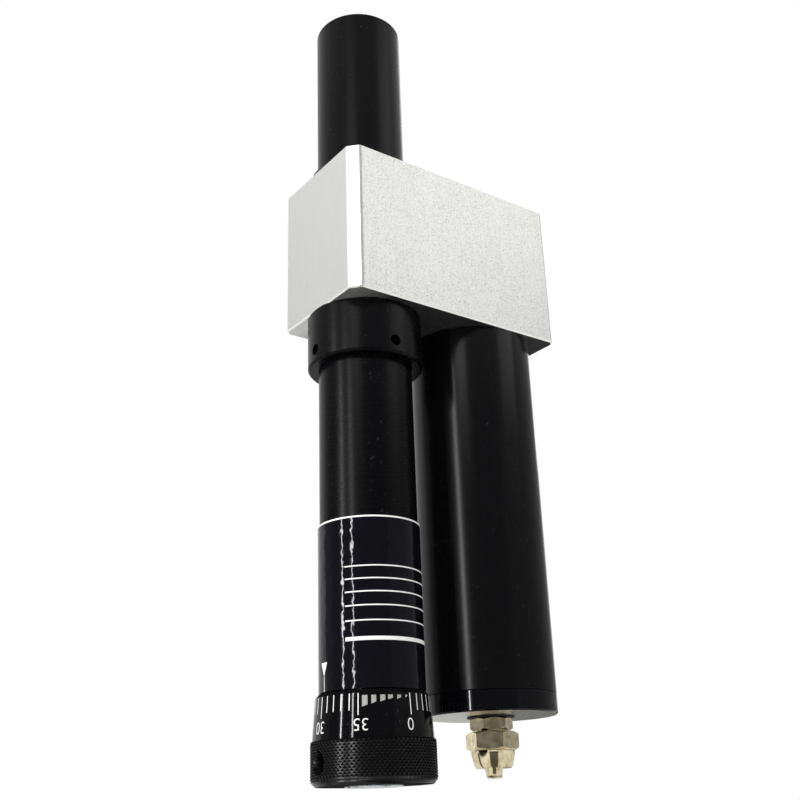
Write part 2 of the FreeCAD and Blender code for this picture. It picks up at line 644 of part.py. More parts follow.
def block_seals():
    """O-rings above and below the oil groove."""
    rings = []
    for name, sign in (("seal_low", "-"), ("seal_high", "+")):
        rings.append(o_ring(name, TUBE_R, "cord_large", REGULATOR, f"0 {sign} seal_spread", inside=True))
    gather("block_seal_rings", rings)


def label_sleeve():
    """Thin sleeve that carries the label over the tube's lower end."""
    inner = f"{TUBE_R} + fit_gap"
    ring_shape("label_sleeve", inner, f"{TUBE_R} + label_skin", "label_height", REGULATOR, TUBE_FOOT)


def metering_head():
    """Head that closes the tube, seats the pressure tube and holds the metering port."""
    body = new_body("metering_head")
    bore = "spindle_size / 2 + run_gap"
    lip = "(pressure_inner / 2 - fit_gap)"
    neck, seat = "0 - spigot_length", "head_seat"
    collar = "head_thread / 2 - fit_gap"
    seal_low = "(head_collar + head_land) / 2 - cord_large"
    top = "head_seat + head_lip"
    points = [(bore, neck), ("spigot_outer / 2", neck), ("spigot_outer / 2", "0"), (collar, "0")]
    points += [(collar, "head_collar"), (FREE_R, "head_collar")]
    points += groove(FREE_R, LARGE_DEPTH, seal_low, LARGE_WIDTH)
    points += [(FREE_R, "head_land"), ("pressure_outer / 2", "head_land"), ("pressure_outer / 2", seat)]
    points += [(lip, seat), (lip, top), ("collar_recess / 2", top)]
    points += [("collar_recess / 2", f"{seat} - collar_sink"), (bore, f"{seat} - collar_sink")]
    turned(body, "Head", points)
    port = sketch_on(body, "PortCircle", "YZ_Plane")
    circle(port, "0", "meter_level", "meter_port / 2")
    cut(body, "MeteringPort", port, "pressure_outer / 2 + cut_spare", flipped=True)
    put(body, REGULATOR, TUBE_FOOT, "dial_turn - dial_travel")
    level = f"{TUBE_FOOT} + {seal_low} + {LARGE_WIDTH} / 2"
    PARTS.append(o_ring("head_o_ring", FREE_R, "cord_large", REGULATOR, level))


def metering_spindle():
    """Spindle with a wedge groove that runs out round it, and its two seals."""
    body = new_body("metering_spindle")
    size = "spindle_size / 2"
    shaft = f"({COLLAR_SEAT} - {SPINDLE_FOOT} + run_gap)"
    meter = f"({TUBE_FOOT} + meter_level - {SPINDLE_FOOT})"
    seals = (f"({meter} - upper_seal)", f"({meter} - lower_seal)")
    collar = "collar_recess / 2 - collar_play"
    points = [("0", "stud_depth"), ("stud_bore / 2", "stud_depth"), ("stud_bore / 2", "0"), (size, "0")]
    for level in reversed(seals):
        points += groove(size, SMALL_DEPTH, f"{level} - {SMALL_WIDTH} / 2", SMALL_WIDTH)
    points += [(size, shaft), (collar, shaft), (collar, f"{shaft} + collar_height")]
    floor = f"{meter} - bore_below"
    points += [("spindle_bore / 2", f"{shaft} + collar_height"), ("spindle_bore / 2", floor)]
    turned(body, "Shaft", points + [("0", floor)])
    doc.recompute()
    wedge = sketch_on(body, "WedgeSection", "XZ_Plane")
    low, high = f"{meter} - wedge_height / 2", f"{meter} + wedge_height / 2"
    deep, clear = f"{size} - wedge_depth", f"{size} + wedge_depth"
    outline(wedge, [(deep, low), (clear, low), (clear, high), (deep, high)])
    groove_cut = body.newObject("PartDesign::SubtractiveHelix", "WedgeGroove")
    groove_cut.Profile = wedge
    groove_cut.ReferenceAxis = (wedge, ["V_Axis"])
    groove_cut.Mode = "height-turns-growth"
    groove_cut.Height = 0
    groove_cut.setExpression("Turns", tie("wedge_turn / 360"))
    groove_cut.setExpression("Growth", tie("wedge_depth"))
    doc.recompute()
    feed = sketch_on(body, "FeedCircle", "YZ_Plane")
    circle(feed, "0", meter, "meter_port / 2 - feed_play")
    cut(body, "Feed", feed, size, flipped=True)
    flat = sketch_on(body, "FlatOutline", "YZ_Plane", f"{size} - flat_depth")
    low, high = "set_level - disc_sink - set_screw", "set_level - disc_sink + set_screw"
    outline(flat, [(f"0 - {size}", low), (size, low), (size, high), (f"0 - {size}", high)])
    cut(body, "Flat", flat, "flat_depth + cut_spare", flipped=True)
    put(body, REGULATOR, SPINDLE_FOOT, "dial_turn")
    rings = []
    for name, level in (("spindle_seal_high", seals[0]), ("spindle_seal_low", seals[1])):
        rings.append(o_ring(name, size, "cord_small", REGULATOR, f"{SPINDLE_FOOT} + {level}"))
    gather("spindle_o_rings", rings)


def adjusting_dial():
    """Turned dial: scale cone, grip, recess for the head's neck and set screw hole."""
    body = new_body("adjusting_dial")
    bore = "spindle_size / 2 + fit_gap"
    recess, top = "dial_recess / 2", "dial_height"
    floor = "dial_height + dial_gap - spigot_length - dial_floor"
    band = "grip_height + dial_waist"
    disc = "disc_size / 2 + disc_play"
    turned(body, "Dial", [
        (disc, "0"), ("grip_foot / 2", "0"), ("grip_outer / 2", "grip_foot_bevel"),
        ("grip_outer / 2", "grip_height - grip_bevel"), ("grip_outer / 2 - grip_bevel", "grip_height"),
        ("dial_cone_foot / 2", "grip_height"), ("dial_cone_foot / 2", band),
        ("dial_cone_top / 2", "dial_height - dial_top_bevel"), ("dial_top / 2", top), (recess, top),
        (recess, floor), (bore, floor), (bore, "disc_sink"), (disc, "disc_sink"),
    ])
    mouth = sketch_on(body, "ScrewMouth", "YZ_Plane", "grip_outer / 2")
    circle(mouth, "0", "set_level", "set_mouth / 2")
    cut(body, "Mouth", mouth, "set_mouth_depth")
    thread = sketch_on(body, "ScrewThread", "YZ_Plane", "grip_outer / 2")
    circle(thread, "0", "set_level", "set_screw / 2")
    cut(body, "Thread", thread, "grip_outer / 2")
    put(body, REGULATOR, DIAL_FOOT, "dial_turn")


def dial_screws():
    """Slotted screw that holds the dial on the spindle, and the set screw on its flat."""
    screw = new_body("dial_retaining_screw")
    disc, stud = "disc_size / 2", "stud_bore / 2 - fit_gap"
    rim = "disc_height / 6"
    turned(screw, "Screw", [
        ("0", "0 - disc_height"), (f"{disc} - {rim}", "0 - disc_height"), (disc, f"{rim} - disc_height"),
        (disc, "0"), (stud, "0"), (stud, "stud_depth - stud_spare"), ("0", "stud_depth - stud_spare"),
    ])
    slot = sketch_on(screw, "SlotOutline", "XY_Plane", "0 - disc_height")
    wide, half = "disc_size", "disc_slot / 2"
    left, low = f"0 - {wide}", f"0 - {half}"
    outline(slot, [(left, low), (wide, low), (wide, half), (left, half)])
    cut(screw, "Slot", slot, "disc_slot_depth", flipped=True)
    put(screw, REGULATOR, SPINDLE_FOOT, "dial_turn")
    grub = new_body("dial_set_screw")
    start = "(spindle_size / 2 - flat_depth + fit_gap)"
    end = f"({start} + set_length)"
    size = "(set_screw / 2 - fit_gap)"
    tip = f"{size} / 2"
    socket = "set_key / 2 / cos(30 deg)"
    sketch = sketch_on(grub, "ScrewProfile", "XZ_Plane")
    outline(sketch, [
        (start, "0"), (start, tip), (f"{start} + {tip}", size), (end, size),
        (end, socket), (f"{end} - set_key", socket), (f"{end} - set_key", "0"),
    ])
    feature = grub.newObject("PartDesign::Revolution", "Screw")
    feature.Profile = sketch
    feature.ReferenceAxis = (sketch, ["H_Axis"])
    feature.Angle = 360
    put(grub, REGULATOR, f"{DIAL_FOOT} + set_level", "dial_turn")


def pressure_tube():
    """Inner tube that the piston runs in, with the return holes near its top."""
    body = new_body("pressure_tube")
    outer, inner, top = "pressure_outer / 2", "pressure_inner / 2", "pressure_length"
    turned(body, "Tube", [(inner, "0"), (outer, "0"), (outer, top), (inner, top)])
    for name, role in (("ReturnAlong", "XZ_Plane"), ("ReturnAcross", "YZ_Plane")):
        holes = sketch_on(body, name + "_sketch", role)
        circle(holes, "0", "pressure_length - return_level", "return_hole / 2")
        cut(body, name, holes, both=True)
    put(body, REGULATOR, HEAD_SEAT)


def rod_guide():
    """Guide with its bush from below, the rod seal from above and a seal to the tube."""
    body = new_body("rod_guide")
    relief, bush, seal = "guide_relief / 2", "bush_outer / 2 + fit_gap", "seal_outer / 2"
    foot, top = "0 - guide_spigot", "guide_length"
    bush_top = "bush_length - guide_spigot"
    level = "guide_length - guide_seal_drop"
    spigot = "(pressure_inner / 2 - fit_gap)"
    points = [(bush, foot), (spigot, foot), (spigot, "0"), (FREE_R, "0")]
    points += groove(FREE_R, LARGE_DEPTH, level, LARGE_WIDTH)
    points += [(FREE_R, top), (seal, top), (seal, "seal_start"), (relief, "seal_start")]
    turned(body, "Guide", points + [(relief, bush_top), (bush, bush_top)])
    put(body, REGULATOR, GUIDE_SEAT)
    rod = "rod_size / 2 + run_gap"
    ring_shape("guide_bush", rod, "bush_outer / 2", "bush_length", REGULATOR, f"{GUIDE_SEAT} - guide_spigot")
    level = f"{GUIDE_SEAT} + {level} + {LARGE_WIDTH} / 2"
    PARTS.append(o_ring("guide_o_ring", FREE_R, "cord_large", REGULATOR, level))
    lips = new_body("rod_seal")
    outer, high = f"{seal} - fit_gap", "seal_height - fit_gap"
    middle = f"({rod} + {outer}) / 2"
    turned(lips, "Lips", [
        (rod, "0"), (f"{middle} - seal_notch", "0"),
        (middle, "seal_height / 2"), (f"{middle} + seal_notch", "0"),
        (outer, "0"), (outer, high), (rod, high),
    ])
    put(lips, REGULATOR, f"{GUIDE_SEAT} + seal_start")


def front_cap():
    """Cap over the guide, with the wiper, held by a retaining ring in the tube."""
    body = new_body("front_cap")
    relief, nose = "guide_relief / 2", "seal_outer / 2 - fit_gap"
    foot = "seal_start + seal_height - guide_length"
    wiper = "wiper_outer / 2"
    top, step = "cap_length", "cap_length - wiper_height"
    turned(body, "Cap", [
        (relief, foot), (nose, foot), (nose, "0"), (FREE_R, "0"), (FREE_R, top),
        (wiper, top), (wiper, step), (relief, step),
    ])
    put(body, REGULATOR, CAP_SEAT)
    lip = new_body("rod_wiper")
    rod, outer = "rod_size / 2 + run_gap", "wiper_outer / 2 - fit_gap"
    rise = "wiper_height + wiper_rise"
    turned(lip, "Lip", [
        (f"{rod} + wiper_lead", "0"), (outer, "0"),
        (outer, "wiper_height"), (f"{rod} + wiper_root", "wiper_height"),
        (f"{rod} + wiper_tip", rise), (rod, rise), (rod, "wiper_height - wiper_land"),
    ])
    put(lip, REGULATOR, f"{CAP_SEAT} + cap_length - wiper_height")
    ring = ring_shape(
        "front_retaining_ring", "ring_inner / 2", f"{BORE_R} + ring_depth - fit_gap", "ring_height",
        REGULATOR, RING_SEAT, "(360 - ring_open_turn)", "ring_facing",
    )
    ears = sketch_on(ring, "EarHoles", "XY_Plane")
    for side in ("+", "-"):
        middle, angle = "(ring_inner / 2 + ring_ear_inset)", "((ring_open_turn / 2 + ring_ear_turn) * 1 deg)"
        circle(ears, f"0 - {middle} * cos{angle}", f"0 {side} {middle} * sin{angle}", "ring_depth")
    cut(ring, "Ears", ears, both=True)


def piston_group():
    """Rod, piston, its ring, the stop tube, the check plate and the nut under it."""
    body = new_body("piston_rod")
    size, tail = "rod_size / 2", "rod_tail / 2"
    top = f"({TUBE_TOP} + rod_reach - {PISTON_TOP})"
    hub = "(plate_height + plate_lift + nut_spare)"
    foot = f"0 - piston_length - {hub} - nut_flange_height - nut_height"
    thread = "rod_thread / 2"
    turned(body, "Rod", [
        ("0", foot), (tail, foot), (tail, "0"), (size, "0"), (size, f"{top} - rod_bevel"),
        (f"{size} - rod_bevel", top), (thread, top), (thread, f"{top} - rod_thread_depth"),
        ("0", f"{top} - rod_thread_depth"),
    ])
    flats = sketch_on(body, "FlatsOutline", "XY_Plane", top)
    for sign in ("0 -", "0 +"):
        near, out = f"{sign} rod_flats / 2", f"{sign} rod_size"
        left, right = "0 - rod_size", "rod_size"
        outline(flats, [(left, near), (right, near), (right, out), (left, out)])
    cut(body, "Flats", flats, "rod_flats_height")
    put(body, REGULATOR, PISTON_TOP)
    piston = new_body("piston")
    outer = "(pressure_inner / 2 - piston_play / 2)"
    land = "(piston_length - ring_band) / 2"
    points = [(f"{tail} + fit_gap", "0"), (outer, "0")]
    points += groove(outer, f"({outer} - ring_floor / 2)", land, "ring_band")
    turned(piston, "Blank", points + [(outer, "piston_length"), (f"{tail} + fit_gap", "piston_length")])
    hole = sketch_on(piston, "CheckHole", "XY_Plane")
    circle(hole, "valve_circle / 2", "0", "valve_hole / 2")
    around(piston, "CheckHoles", cut(piston, "Check", hole, flipped=True), "valve_count")
    put(piston, REGULATOR, PISTON_FOOT)
    ring_shape(
        "piston_ring", "ring_floor / 2 + fit_gap", "pressure_inner / 2 - run_gap", "ring_band - 2 * fit_gap",
        REGULATOR, f"{PISTON_FOOT} + {land} + fit_gap", "(360 - split_turn)",
    )
    reach = "pressure_length - guide_spigot - piston_rest - piston_length - stroke - stop_gap"
    ring_shape("stop_tube", f"{size} + fit_gap", "stop_outer / 2", reach, REGULATOR, PISTON_TOP)
    plate_foot = f"{PISTON_FOOT} - plate_height - plate_lift - fit_gap"
    ring_shape("check_plate", "plate_inner / 2", "plate_outer / 2", "plate_height", REGULATOR, plate_foot)
    nut = new_body("piston_nut")
    inner, flange = f"{tail} + fit_gap", "nut_flange / 2"
    step = f"0 - {hub}"
    base = f"0 - {hub} - nut_flange_height"
    turned(nut, "Hub", [
        (inner, base), (flange, base), (flange, step),
        ("nut_hub / 2", step), ("nut_hub / 2", "0"), (inner, "0"),
    ])
    hexed = sketch_on(nut, "HexOutline", "XY_Plane", base)
    hexagon(hexed, "nut_key")
    circle(hexed, "0", "0", inner)
    pad(nut, "Hexagon", hexed, "nut_height", flipped=True)
    put(nut, REGULATOR, PISTON_FOOT)


def block_plugs():
    """Plug of the cross passage, and the bleed screw on its washer."""
    plug = new_body("passage_plug")
    sketch = sketch_on(plug, "PlugProfile", "XZ_Plane")
    size, back = "plug_bore / 2 - fit_gap", "0 - plug_length + fit_gap"
    outline(sketch, [("0", "0"), ("0", size), (back, size), (back, "0")])
    feature = plug.newObject("PartDesign::Revolution", "Plug")
    feature.Profile = sketch
    feature.ReferenceAxis = (sketch, ["H_Axis"])
    feature.Angle = 360
    socket = sketch_on(plug, "SocketOutline", "YZ_Plane")
    hexagon(socket, "plug_key")
    cut(plug, "Socket", socket, "plug_key")
    put(plug, ("block_length - end_margin - bolt_offset", REGULATOR[1]), f"{BLOCK_FOOT} + block_height / 2")
    inner, outer = "bleed_bore / 2 + bleed_seat_play", "bleed_key / 2 + bleed_seat_reach"
    ring_shape("bleed_washer", inner, outer, "bleed_seat", TANK, BLOCK_TOP)
    screw = new_body("bleed_screw")
    stud = "bleed_bore / 2 - fit_gap"
    reach = "bleed_seat + bleed_spare - bleed_depth"
    hexed = sketch_on(screw, "HexOutline", "XY_Plane")
    hexagon(hexed, "bleed_key")
    pad(screw, "Hexagon", hexed, "bleed_head")
    turned(screw, "Stud", [("0", reach), (stud, reach), (stud, "0"), ("0", "0")])
    corner = "(bleed_key / 2 / cos(30 deg))"
    drop = f"({corner} - bleed_key / 2) * tan(30 deg)"
    turned_cut(screw, "Bevel", [
        ("bleed_key / 2", "bleed_head"), (f"{corner} + cut_spare", "bleed_head"),
        (f"{corner} + cut_spare", f"bleed_head - {drop} - tan(30 deg) * cut_spare"),
    ])
    put(screw, TANK, f"{BLOCK_TOP} + bleed_seat")


def tank_shell():
    """Tank tube, its head in the block and the head's seals."""
    body = new_body("tank_tube")
    outer, inner = "tank_outer / 2", "tank_inner / 2"
    turned(body, "Tube", [(inner, "0"), (outer, "0"), (outer, "tank_length"), (inner, "tank_length")])
    put(body, TANK, TANK_FOOT)
    head = new_body("tank_head")
    neck, disc = "(neck_size / 2)", f"({inner} - fit_gap)"
    neck_seal, disc_seal = "neck_height / 2 - cord_large / 2", "0 - head_disc / 2 - cord_large / 2"
    points = [("head_bore / 2", "0 - head_disc"), (disc, "0 - head_disc")]
    points += groove(disc, LARGE_DEPTH, disc_seal, LARGE_WIDTH)
    points += [(disc, "0"), (neck, "0")]
    points += groove(neck, LARGE_DEPTH, neck_seal, LARGE_WIDTH)
    turned(head, "Head", points + [(neck, "neck_height"), ("head_bore / 2", "neck_height")])
    put(head, TANK, BLOCK_FOOT)
    rings = []
    for name, radius, low in (("neck_seal", neck, neck_seal), ("disc_seal", disc, disc_seal)):
        rings.append(o_ring(name, radius, "cord_large", TANK, f"{BLOCK_FOOT} + {low} + {LARGE_WIDTH} / 2"))
    gather("tank_head_o_rings", rings)


def separator():
    """Floating piston between oil and air, with its seals and wear ring."""
    body = new_body("separator_piston")
    outer = "(tank_inner / 2 - separator_play / 2)"
    cup = "separator_cup / 2"
    seal_depth = f"({outer} - tank_inner / 2 + run_gap + {LARGE_DEPTH})"
    low = "cord_large"
    high = f"(separator_length - cord_large - {LARGE_WIDTH})"
    band = "(separator_length - wear_band) / 2"
    points = [(cup, "0"), (outer, "0")]
    points += groove(outer, seal_depth, low, LARGE_WIDTH)
    points += groove(outer, "wear_depth", band, "wear_band")
    points += groove(outer, seal_depth, high, LARGE_WIDTH)
    points += [(outer, "separator_length"), ("0", "separator_length")]
    turned(body, "Piston", points + [("0", "separator_cup_depth"), (cup, "separator_cup_depth")])
    rest = f"({TANK_FOOT} + separator_rest)"
    put(body, TANK, rest)
    rings = []
    for name, level in (("separator_seal_low", low), ("separator_seal_high", high)):
        spot = f"{rest} + {level} + {LARGE_WIDTH} / 2"
        rings.append(o_ring(name, "(tank_inner / 2 - run_gap)", "cord_large", TANK, spot))
    gather("separator_seals", rings)
    ring_shape(
        "separator_wear_ring", f"{outer} - wear_depth + fit_gap", "tank_inner / 2 - run_gap",
        "wear_band - 2 * fit_gap", TANK, f"{rest} + {band} + fit_gap", "(360 - split_turn)",
    )


def tank_cap():
    """Screwed cap that closes the tank, with its seal and the air thread."""
    body = new_body("tank_cap")
    outer, spigot = "tank_outer / 2", "(tank_inner / 2 - fit_gap)"
    port, cup = "stud_size / 2 + fit_gap", "cap_cup / 2"
    foot, top, floor = "0 - cap_rim", "cap_spigot", "cap_floor - cap_rim"
    seal = "cap_spigot / 2 - cord_large / 2"
    points = [(port, foot), (f"{outer} - cap_bevel", foot), (outer, f"{foot} + cap_bevel")]
    points += [(outer, "0"), (spigot, "0")]
    points += groove(spigot, LARGE_DEPTH, seal, LARGE_WIDTH)
    turned(body, "Cap", points + [(spigot, top), (cup, top), (cup, floor), (port, floor)])
    put(body, TANK, TANK_FOOT)
    level = f"{TANK_FOOT} + {seal} + {LARGE_WIDTH} / 2"
    PARTS.append(o_ring("tank_cap_o_ring", spigot, "cord_large", TANK, level))


def air_fitting():
    """Sealing washer, hexagon body with its hose stem, and the hose nut."""
    stud = "stud_size / 2"
    ring_shape("fitting_washer", f"{stud} + fit_gap", "washer_outer / 2", "washer_height", TANK, BODY_TOP)
    body = new_body("fitting_body")
    hexed = sketch_on(body, "HexOutline", "XY_Plane")
    hexagon(hexed, "body_key")
    pad(body, "Hexagon", hexed, "body_height", flipped=True)
    thread, waist, stem = "hose_thread / 2", "stem_waist / 2", "stem_size / 2"
    foot = "(0 - body_height - stem_length)"
    seat = "(0 - body_height - hose_thread_length)"
    tip, low = f"{foot} + stem_tip", "0 - body_height / 2"
    barb = f"{tip} + barb_height"
    turned(body, "Stem", [
        ("0", foot), (f"{stem} - stem_bevel", foot), (stem, f"{foot} + stem_bevel"), (stem, tip),
        ("stem_barb / 2", barb), (waist, barb), (waist, f"{seat} - thread_runout"),
        (thread, seat), (thread, low), ("0", low),
    ])
    high, bore = "stud_length", "stem_bore / 2"
    turned(body, "Stud", [("0", low), (stud, low), (stud, high), ("0", high)])
    turned_cut(body, "AirBore", [("0", foot), (bore, foot), (bore, high), ("0", high)])
    put(body, TANK, BODY_TOP)
    nut = new_body("fitting_nut")
    inner = "(hose_thread / 2 + fit_gap)"
    mouth = "hose_nut_mouth / 2"
    hexed = sketch_on(nut, "HexOutline", "XY_Plane")
    hexagon(hexed, "hose_nut_key")
    circle(hexed, "0", "0", inner)
    pad(nut, "Hexagon", hexed, "hose_nut_hex", flipped=True)
    collar, waist, end = "hose_nut_collar / 2", "hose_nut_waist / 2", "hose_nut_foot / 2"
    step, low = "0 - hose_nut_hex", "0 - hose_nut_height"
    cone = "hose_nut_gap - hose_thread_length - thread_runout"
    turned(nut, "Taper", [
        (inner, step), (collar, step), (collar, f"{step} - nut_shoulder"),
        (waist, "nut_end - hose_nut_height"),
        (end, low), (mouth, low), (mouth, f"{cone} - nut_cone"), (inner, cone),
    ])
    put(nut, TANK, f"{BODY_TOP} - body_height - hose_nut_gap", "hose_nut_turn")


manifold_block()
regulator_tube()
tube_fasteners()
block_seals()
label_sleeve()
metering_head()
metering_spindle()
adjusting_dial()
dial_screws()
pressure_tube()
rod_guide()
front_cap()
piston_group()
block_plugs()
tank_shell()
separator()
tank_cap()
air_fitting()
doc.recompute()

for item in doc.Objects:
    if "Invalid" in item.State or "Error" in item.State:
        raise RuntimeError(f"{item.Label} failed: {item.State}")
for piece in PARTS:
    if piece.Shape.isNull() or not piece.Shape.isValid():
        raise RuntimeError(f"{piece.Label} has no valid shape")

os.makedirs("parts", exist_ok=True)
for piece in PARTS:
    piece.Shape.exportStep(f"parts/{piece.Label}.step")
    print(piece.Label, len(piece.Shape.Solids), round(piece.Shape.Volume, 1))
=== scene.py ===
import json
import math

import bmesh
import bpy
from mathutils import Matrix, Vector


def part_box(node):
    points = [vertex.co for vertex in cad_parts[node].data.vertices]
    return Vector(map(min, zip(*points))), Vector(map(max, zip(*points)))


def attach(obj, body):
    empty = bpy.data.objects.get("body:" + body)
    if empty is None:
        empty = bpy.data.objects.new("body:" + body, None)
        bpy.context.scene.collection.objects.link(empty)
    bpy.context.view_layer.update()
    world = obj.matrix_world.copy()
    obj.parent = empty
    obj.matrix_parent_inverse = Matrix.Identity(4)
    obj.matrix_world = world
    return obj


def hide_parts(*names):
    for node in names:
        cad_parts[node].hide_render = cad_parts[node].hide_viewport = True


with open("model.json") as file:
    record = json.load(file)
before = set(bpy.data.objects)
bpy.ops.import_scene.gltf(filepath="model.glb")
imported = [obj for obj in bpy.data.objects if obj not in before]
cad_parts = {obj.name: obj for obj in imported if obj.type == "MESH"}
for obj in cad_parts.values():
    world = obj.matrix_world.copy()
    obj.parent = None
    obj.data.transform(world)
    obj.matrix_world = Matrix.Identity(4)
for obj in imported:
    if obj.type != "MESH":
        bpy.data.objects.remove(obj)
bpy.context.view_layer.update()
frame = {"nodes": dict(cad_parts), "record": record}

# Studio. The regulator hangs with its dial down and is seen from below the dial, from the
# front left. Soft boxes light the block, and two narrow strips draw the long highlights
# on the black tubes. The background is white.
MM = 0.001
CAMERA_PLACE = (-0.25961, -0.34009, -0.21547)
CAMERA_LENS = 47.96
CAMERA_YAW = math.radians(36.27)
CAMERA_PITCH = math.radians(21.61)
CAMERA_ROLL = math.radians(-1.99)
CAMERA_NEAR = 0.01
WORLD_FILL = 0.8
STUDIO_AIM = Vector((0, -0.02, -0.05))


def linear(code):
    """A colour written as sRGB hex, as the linear values that Blender works in."""
    parts = [int(code[place:place + 2], 16) / 255 for place in (1, 3, 5)]
    return tuple(p / 12.92 if p <= 0.04045 else ((p + 0.055) / 1.055) ** 2.4 for p in parts) + (1,)


def node(tree, kind, sockets={}, **settings):
    """Adds a node with its settings. A socket takes a value, or a (node, output) pair as a link."""
    made = tree.nodes.new("ShaderNode" + kind)
    for name, value in settings.items():
        setattr(made, name, value)
    for name, value in sockets.items():
        if isinstance(value, tuple) and isinstance(value[0], bpy.types.Node):
            tree.links.new(value[0].outputs[value[1]], made.inputs[name])
        else:
            made.inputs[name].default_value = value
    return made


def finish(name, colour, metallic, roughness, specular=0.5):
    """A material with its own shader set to what the real finish gives."""
    made = bpy.data.materials.new(name)
    made.use_nodes = True
    shader = made.node_tree.nodes["Principled BSDF"]
    shader.inputs["Base Color"].default_value = linear(colour)
    shader.inputs["Metallic"].default_value = metallic
    shader.inputs["Roughness"].default_value = roughness
    shader.inputs["Specular IOR Level"].default_value = specular
    return made, made.node_tree, shader


def wire(tree, shader, tone=None, rough=None, relief=None):
    """Links a colour mix, a roughness and a bump, as far as they are given, to the shader."""
    for source, output, socket in (
            (tone, 2, "Base Color"), (rough, 0, "Roughness"), (relief, 0, "Normal")):
        if source is not None:
            tree.links.new(source.outputs[output], shader.inputs[socket])


camera = bpy.data.objects.new("camera", bpy.data.cameras.new("camera"))
bpy.context.scene.collection.objects.link(camera)
camera.data.lens = CAMERA_LENS
camera.data.clip_start = CAMERA_NEAR
camera.matrix_world = (
    Matrix.Translation(CAMERA_PLACE)
    @ Matrix.Rotation(-CAMERA_YAW, 4, "Z")
    @ Matrix.Rotation(math.pi / 2 + CAMERA_PITCH, 4, "X")
    @ Matrix.Rotation(CAMERA_ROLL, 4, "Z")
)
bpy.context.scene.camera = camera
bpy.context.scene.view_settings.view_transform = "Standard"

# The world fills in the light of the lamps. Where it is seen or mirrored, it is plain white.
world = bpy.data.worlds.new("studio")
bpy.context.scene.world = world
world.use_nodes = True
tree = world.node_tree
tree.nodes.clear()
path = node(tree, "LightPath")
seen = node(tree, "Math", {
    0: (path, "Is Camera Ray"), 1: (path, "Is Glossy Ray")}, operation="MAXIMUM")
seen = node(tree, "Math", {
    0: (seen, 0), 1: (path, "Is Transmission Ray")}, operation="MAXIMUM")
fill = node(tree, "Background", {"Color": linear("#FFFFFF"), "Strength": WORLD_FILL})
white = node(tree, "Background", {"Color": linear("#FFFFFF"), "Strength": 1})
shown = node(tree, "MixShader", {0: (seen, 0), 1: (fill, 0), 2: (white, 0)})
node(tree, "OutputWorld", {"Surface": (shown, 0)})

# Soft boxes and strips: name, plan angle, height over the aim, distance, width, length, watts
for name, angle, rise, away, width, length, power in (
    ("key_box", 214, 0.85, 1.5, 0.5, 0.5, 4.2),
    ("front_box", 305, 0.95, 1.5, 0.9, 0.7, 4.0),
    ("back_box", 45, 1.0, 1.6, 1.0, 1.0, 5.0),
    ("left_strip", 173.5, 0.24, 1.5, 0.06, 0.75, 9.0),
    ("near_strip", 196.5, 0.24, 1.5, 0.05, 0.75, 7.5),
):
    lamp = bpy.data.objects.new(name, bpy.data.lights.new(name, "AREA"))
    bpy.context.scene.collection.objects.link(lamp)
    lamp.data.shape = "RECTANGLE"
    lamp.data.size = width
    lamp.data.size_y = length
    lamp.data.energy = power
    side = math.radians(angle)
    lamp.location = STUDIO_AIM + Vector((away * math.cos(side), away * math.sin(side), rise))
    lamp.rotation_euler = (STUDIO_AIM - lamp.location).to_track_quat("-Z", "Y").to_euler()

# Floor. A wide sheet of matt paper, nearly white, with a fine grain. It lies well below the
# dial and takes the regulator's soft shadow.
FLOOR_LEVEL = -0.29
FLOOR_SIZE = 60
PAPER_GRAIN = 2.5
bpy.ops.object.select_all(action="DESELECT")
bpy.ops.mesh.primitive_plane_add(size=FLOOR_SIZE, location=(0, 0, FLOOR_LEVEL))
floor = bpy.context.object
floor.name = "floor"
paper, tree, shader = finish("matt_paper", "#E4E4E2", 0, 0.9, 0.1)
spot = node(tree, "TexCoord")
grain = node(tree, "TexNoise", {"Vector": (spot, "Object"), "Scale": 1 / (PAPER_GRAIN * MM)})
relief = node(tree, "Bump", {"Height": (grain, "Fac"), "Strength": 0.05, "Distance": 0.2 * MM})
wire(tree, shader, relief=relief)
floor.data.materials.append(paper)

# Cloths and cards, seen only in reflections. Grey velvet round the camera's side keeps the gloss
# of the label and the dial dark between its highlights, and dark cards under the fitting give
# the bright nickel its bands and shade one side of the tank cap's bare end face.
FITTING_PLACE = (0.008, -0.0255)
VELVET_REACH = (1.9, 1.9)
VELVET_LEVELS = (-0.28, 0.8)
CARD_REACH = (0.004, 0.45)
CARD_LEVEL = FLOOR_LEVEL + 0.004
CARD_LEVELS = (CARD_LEVEL, CARD_LEVEL)
SHEET_CUTS = 31

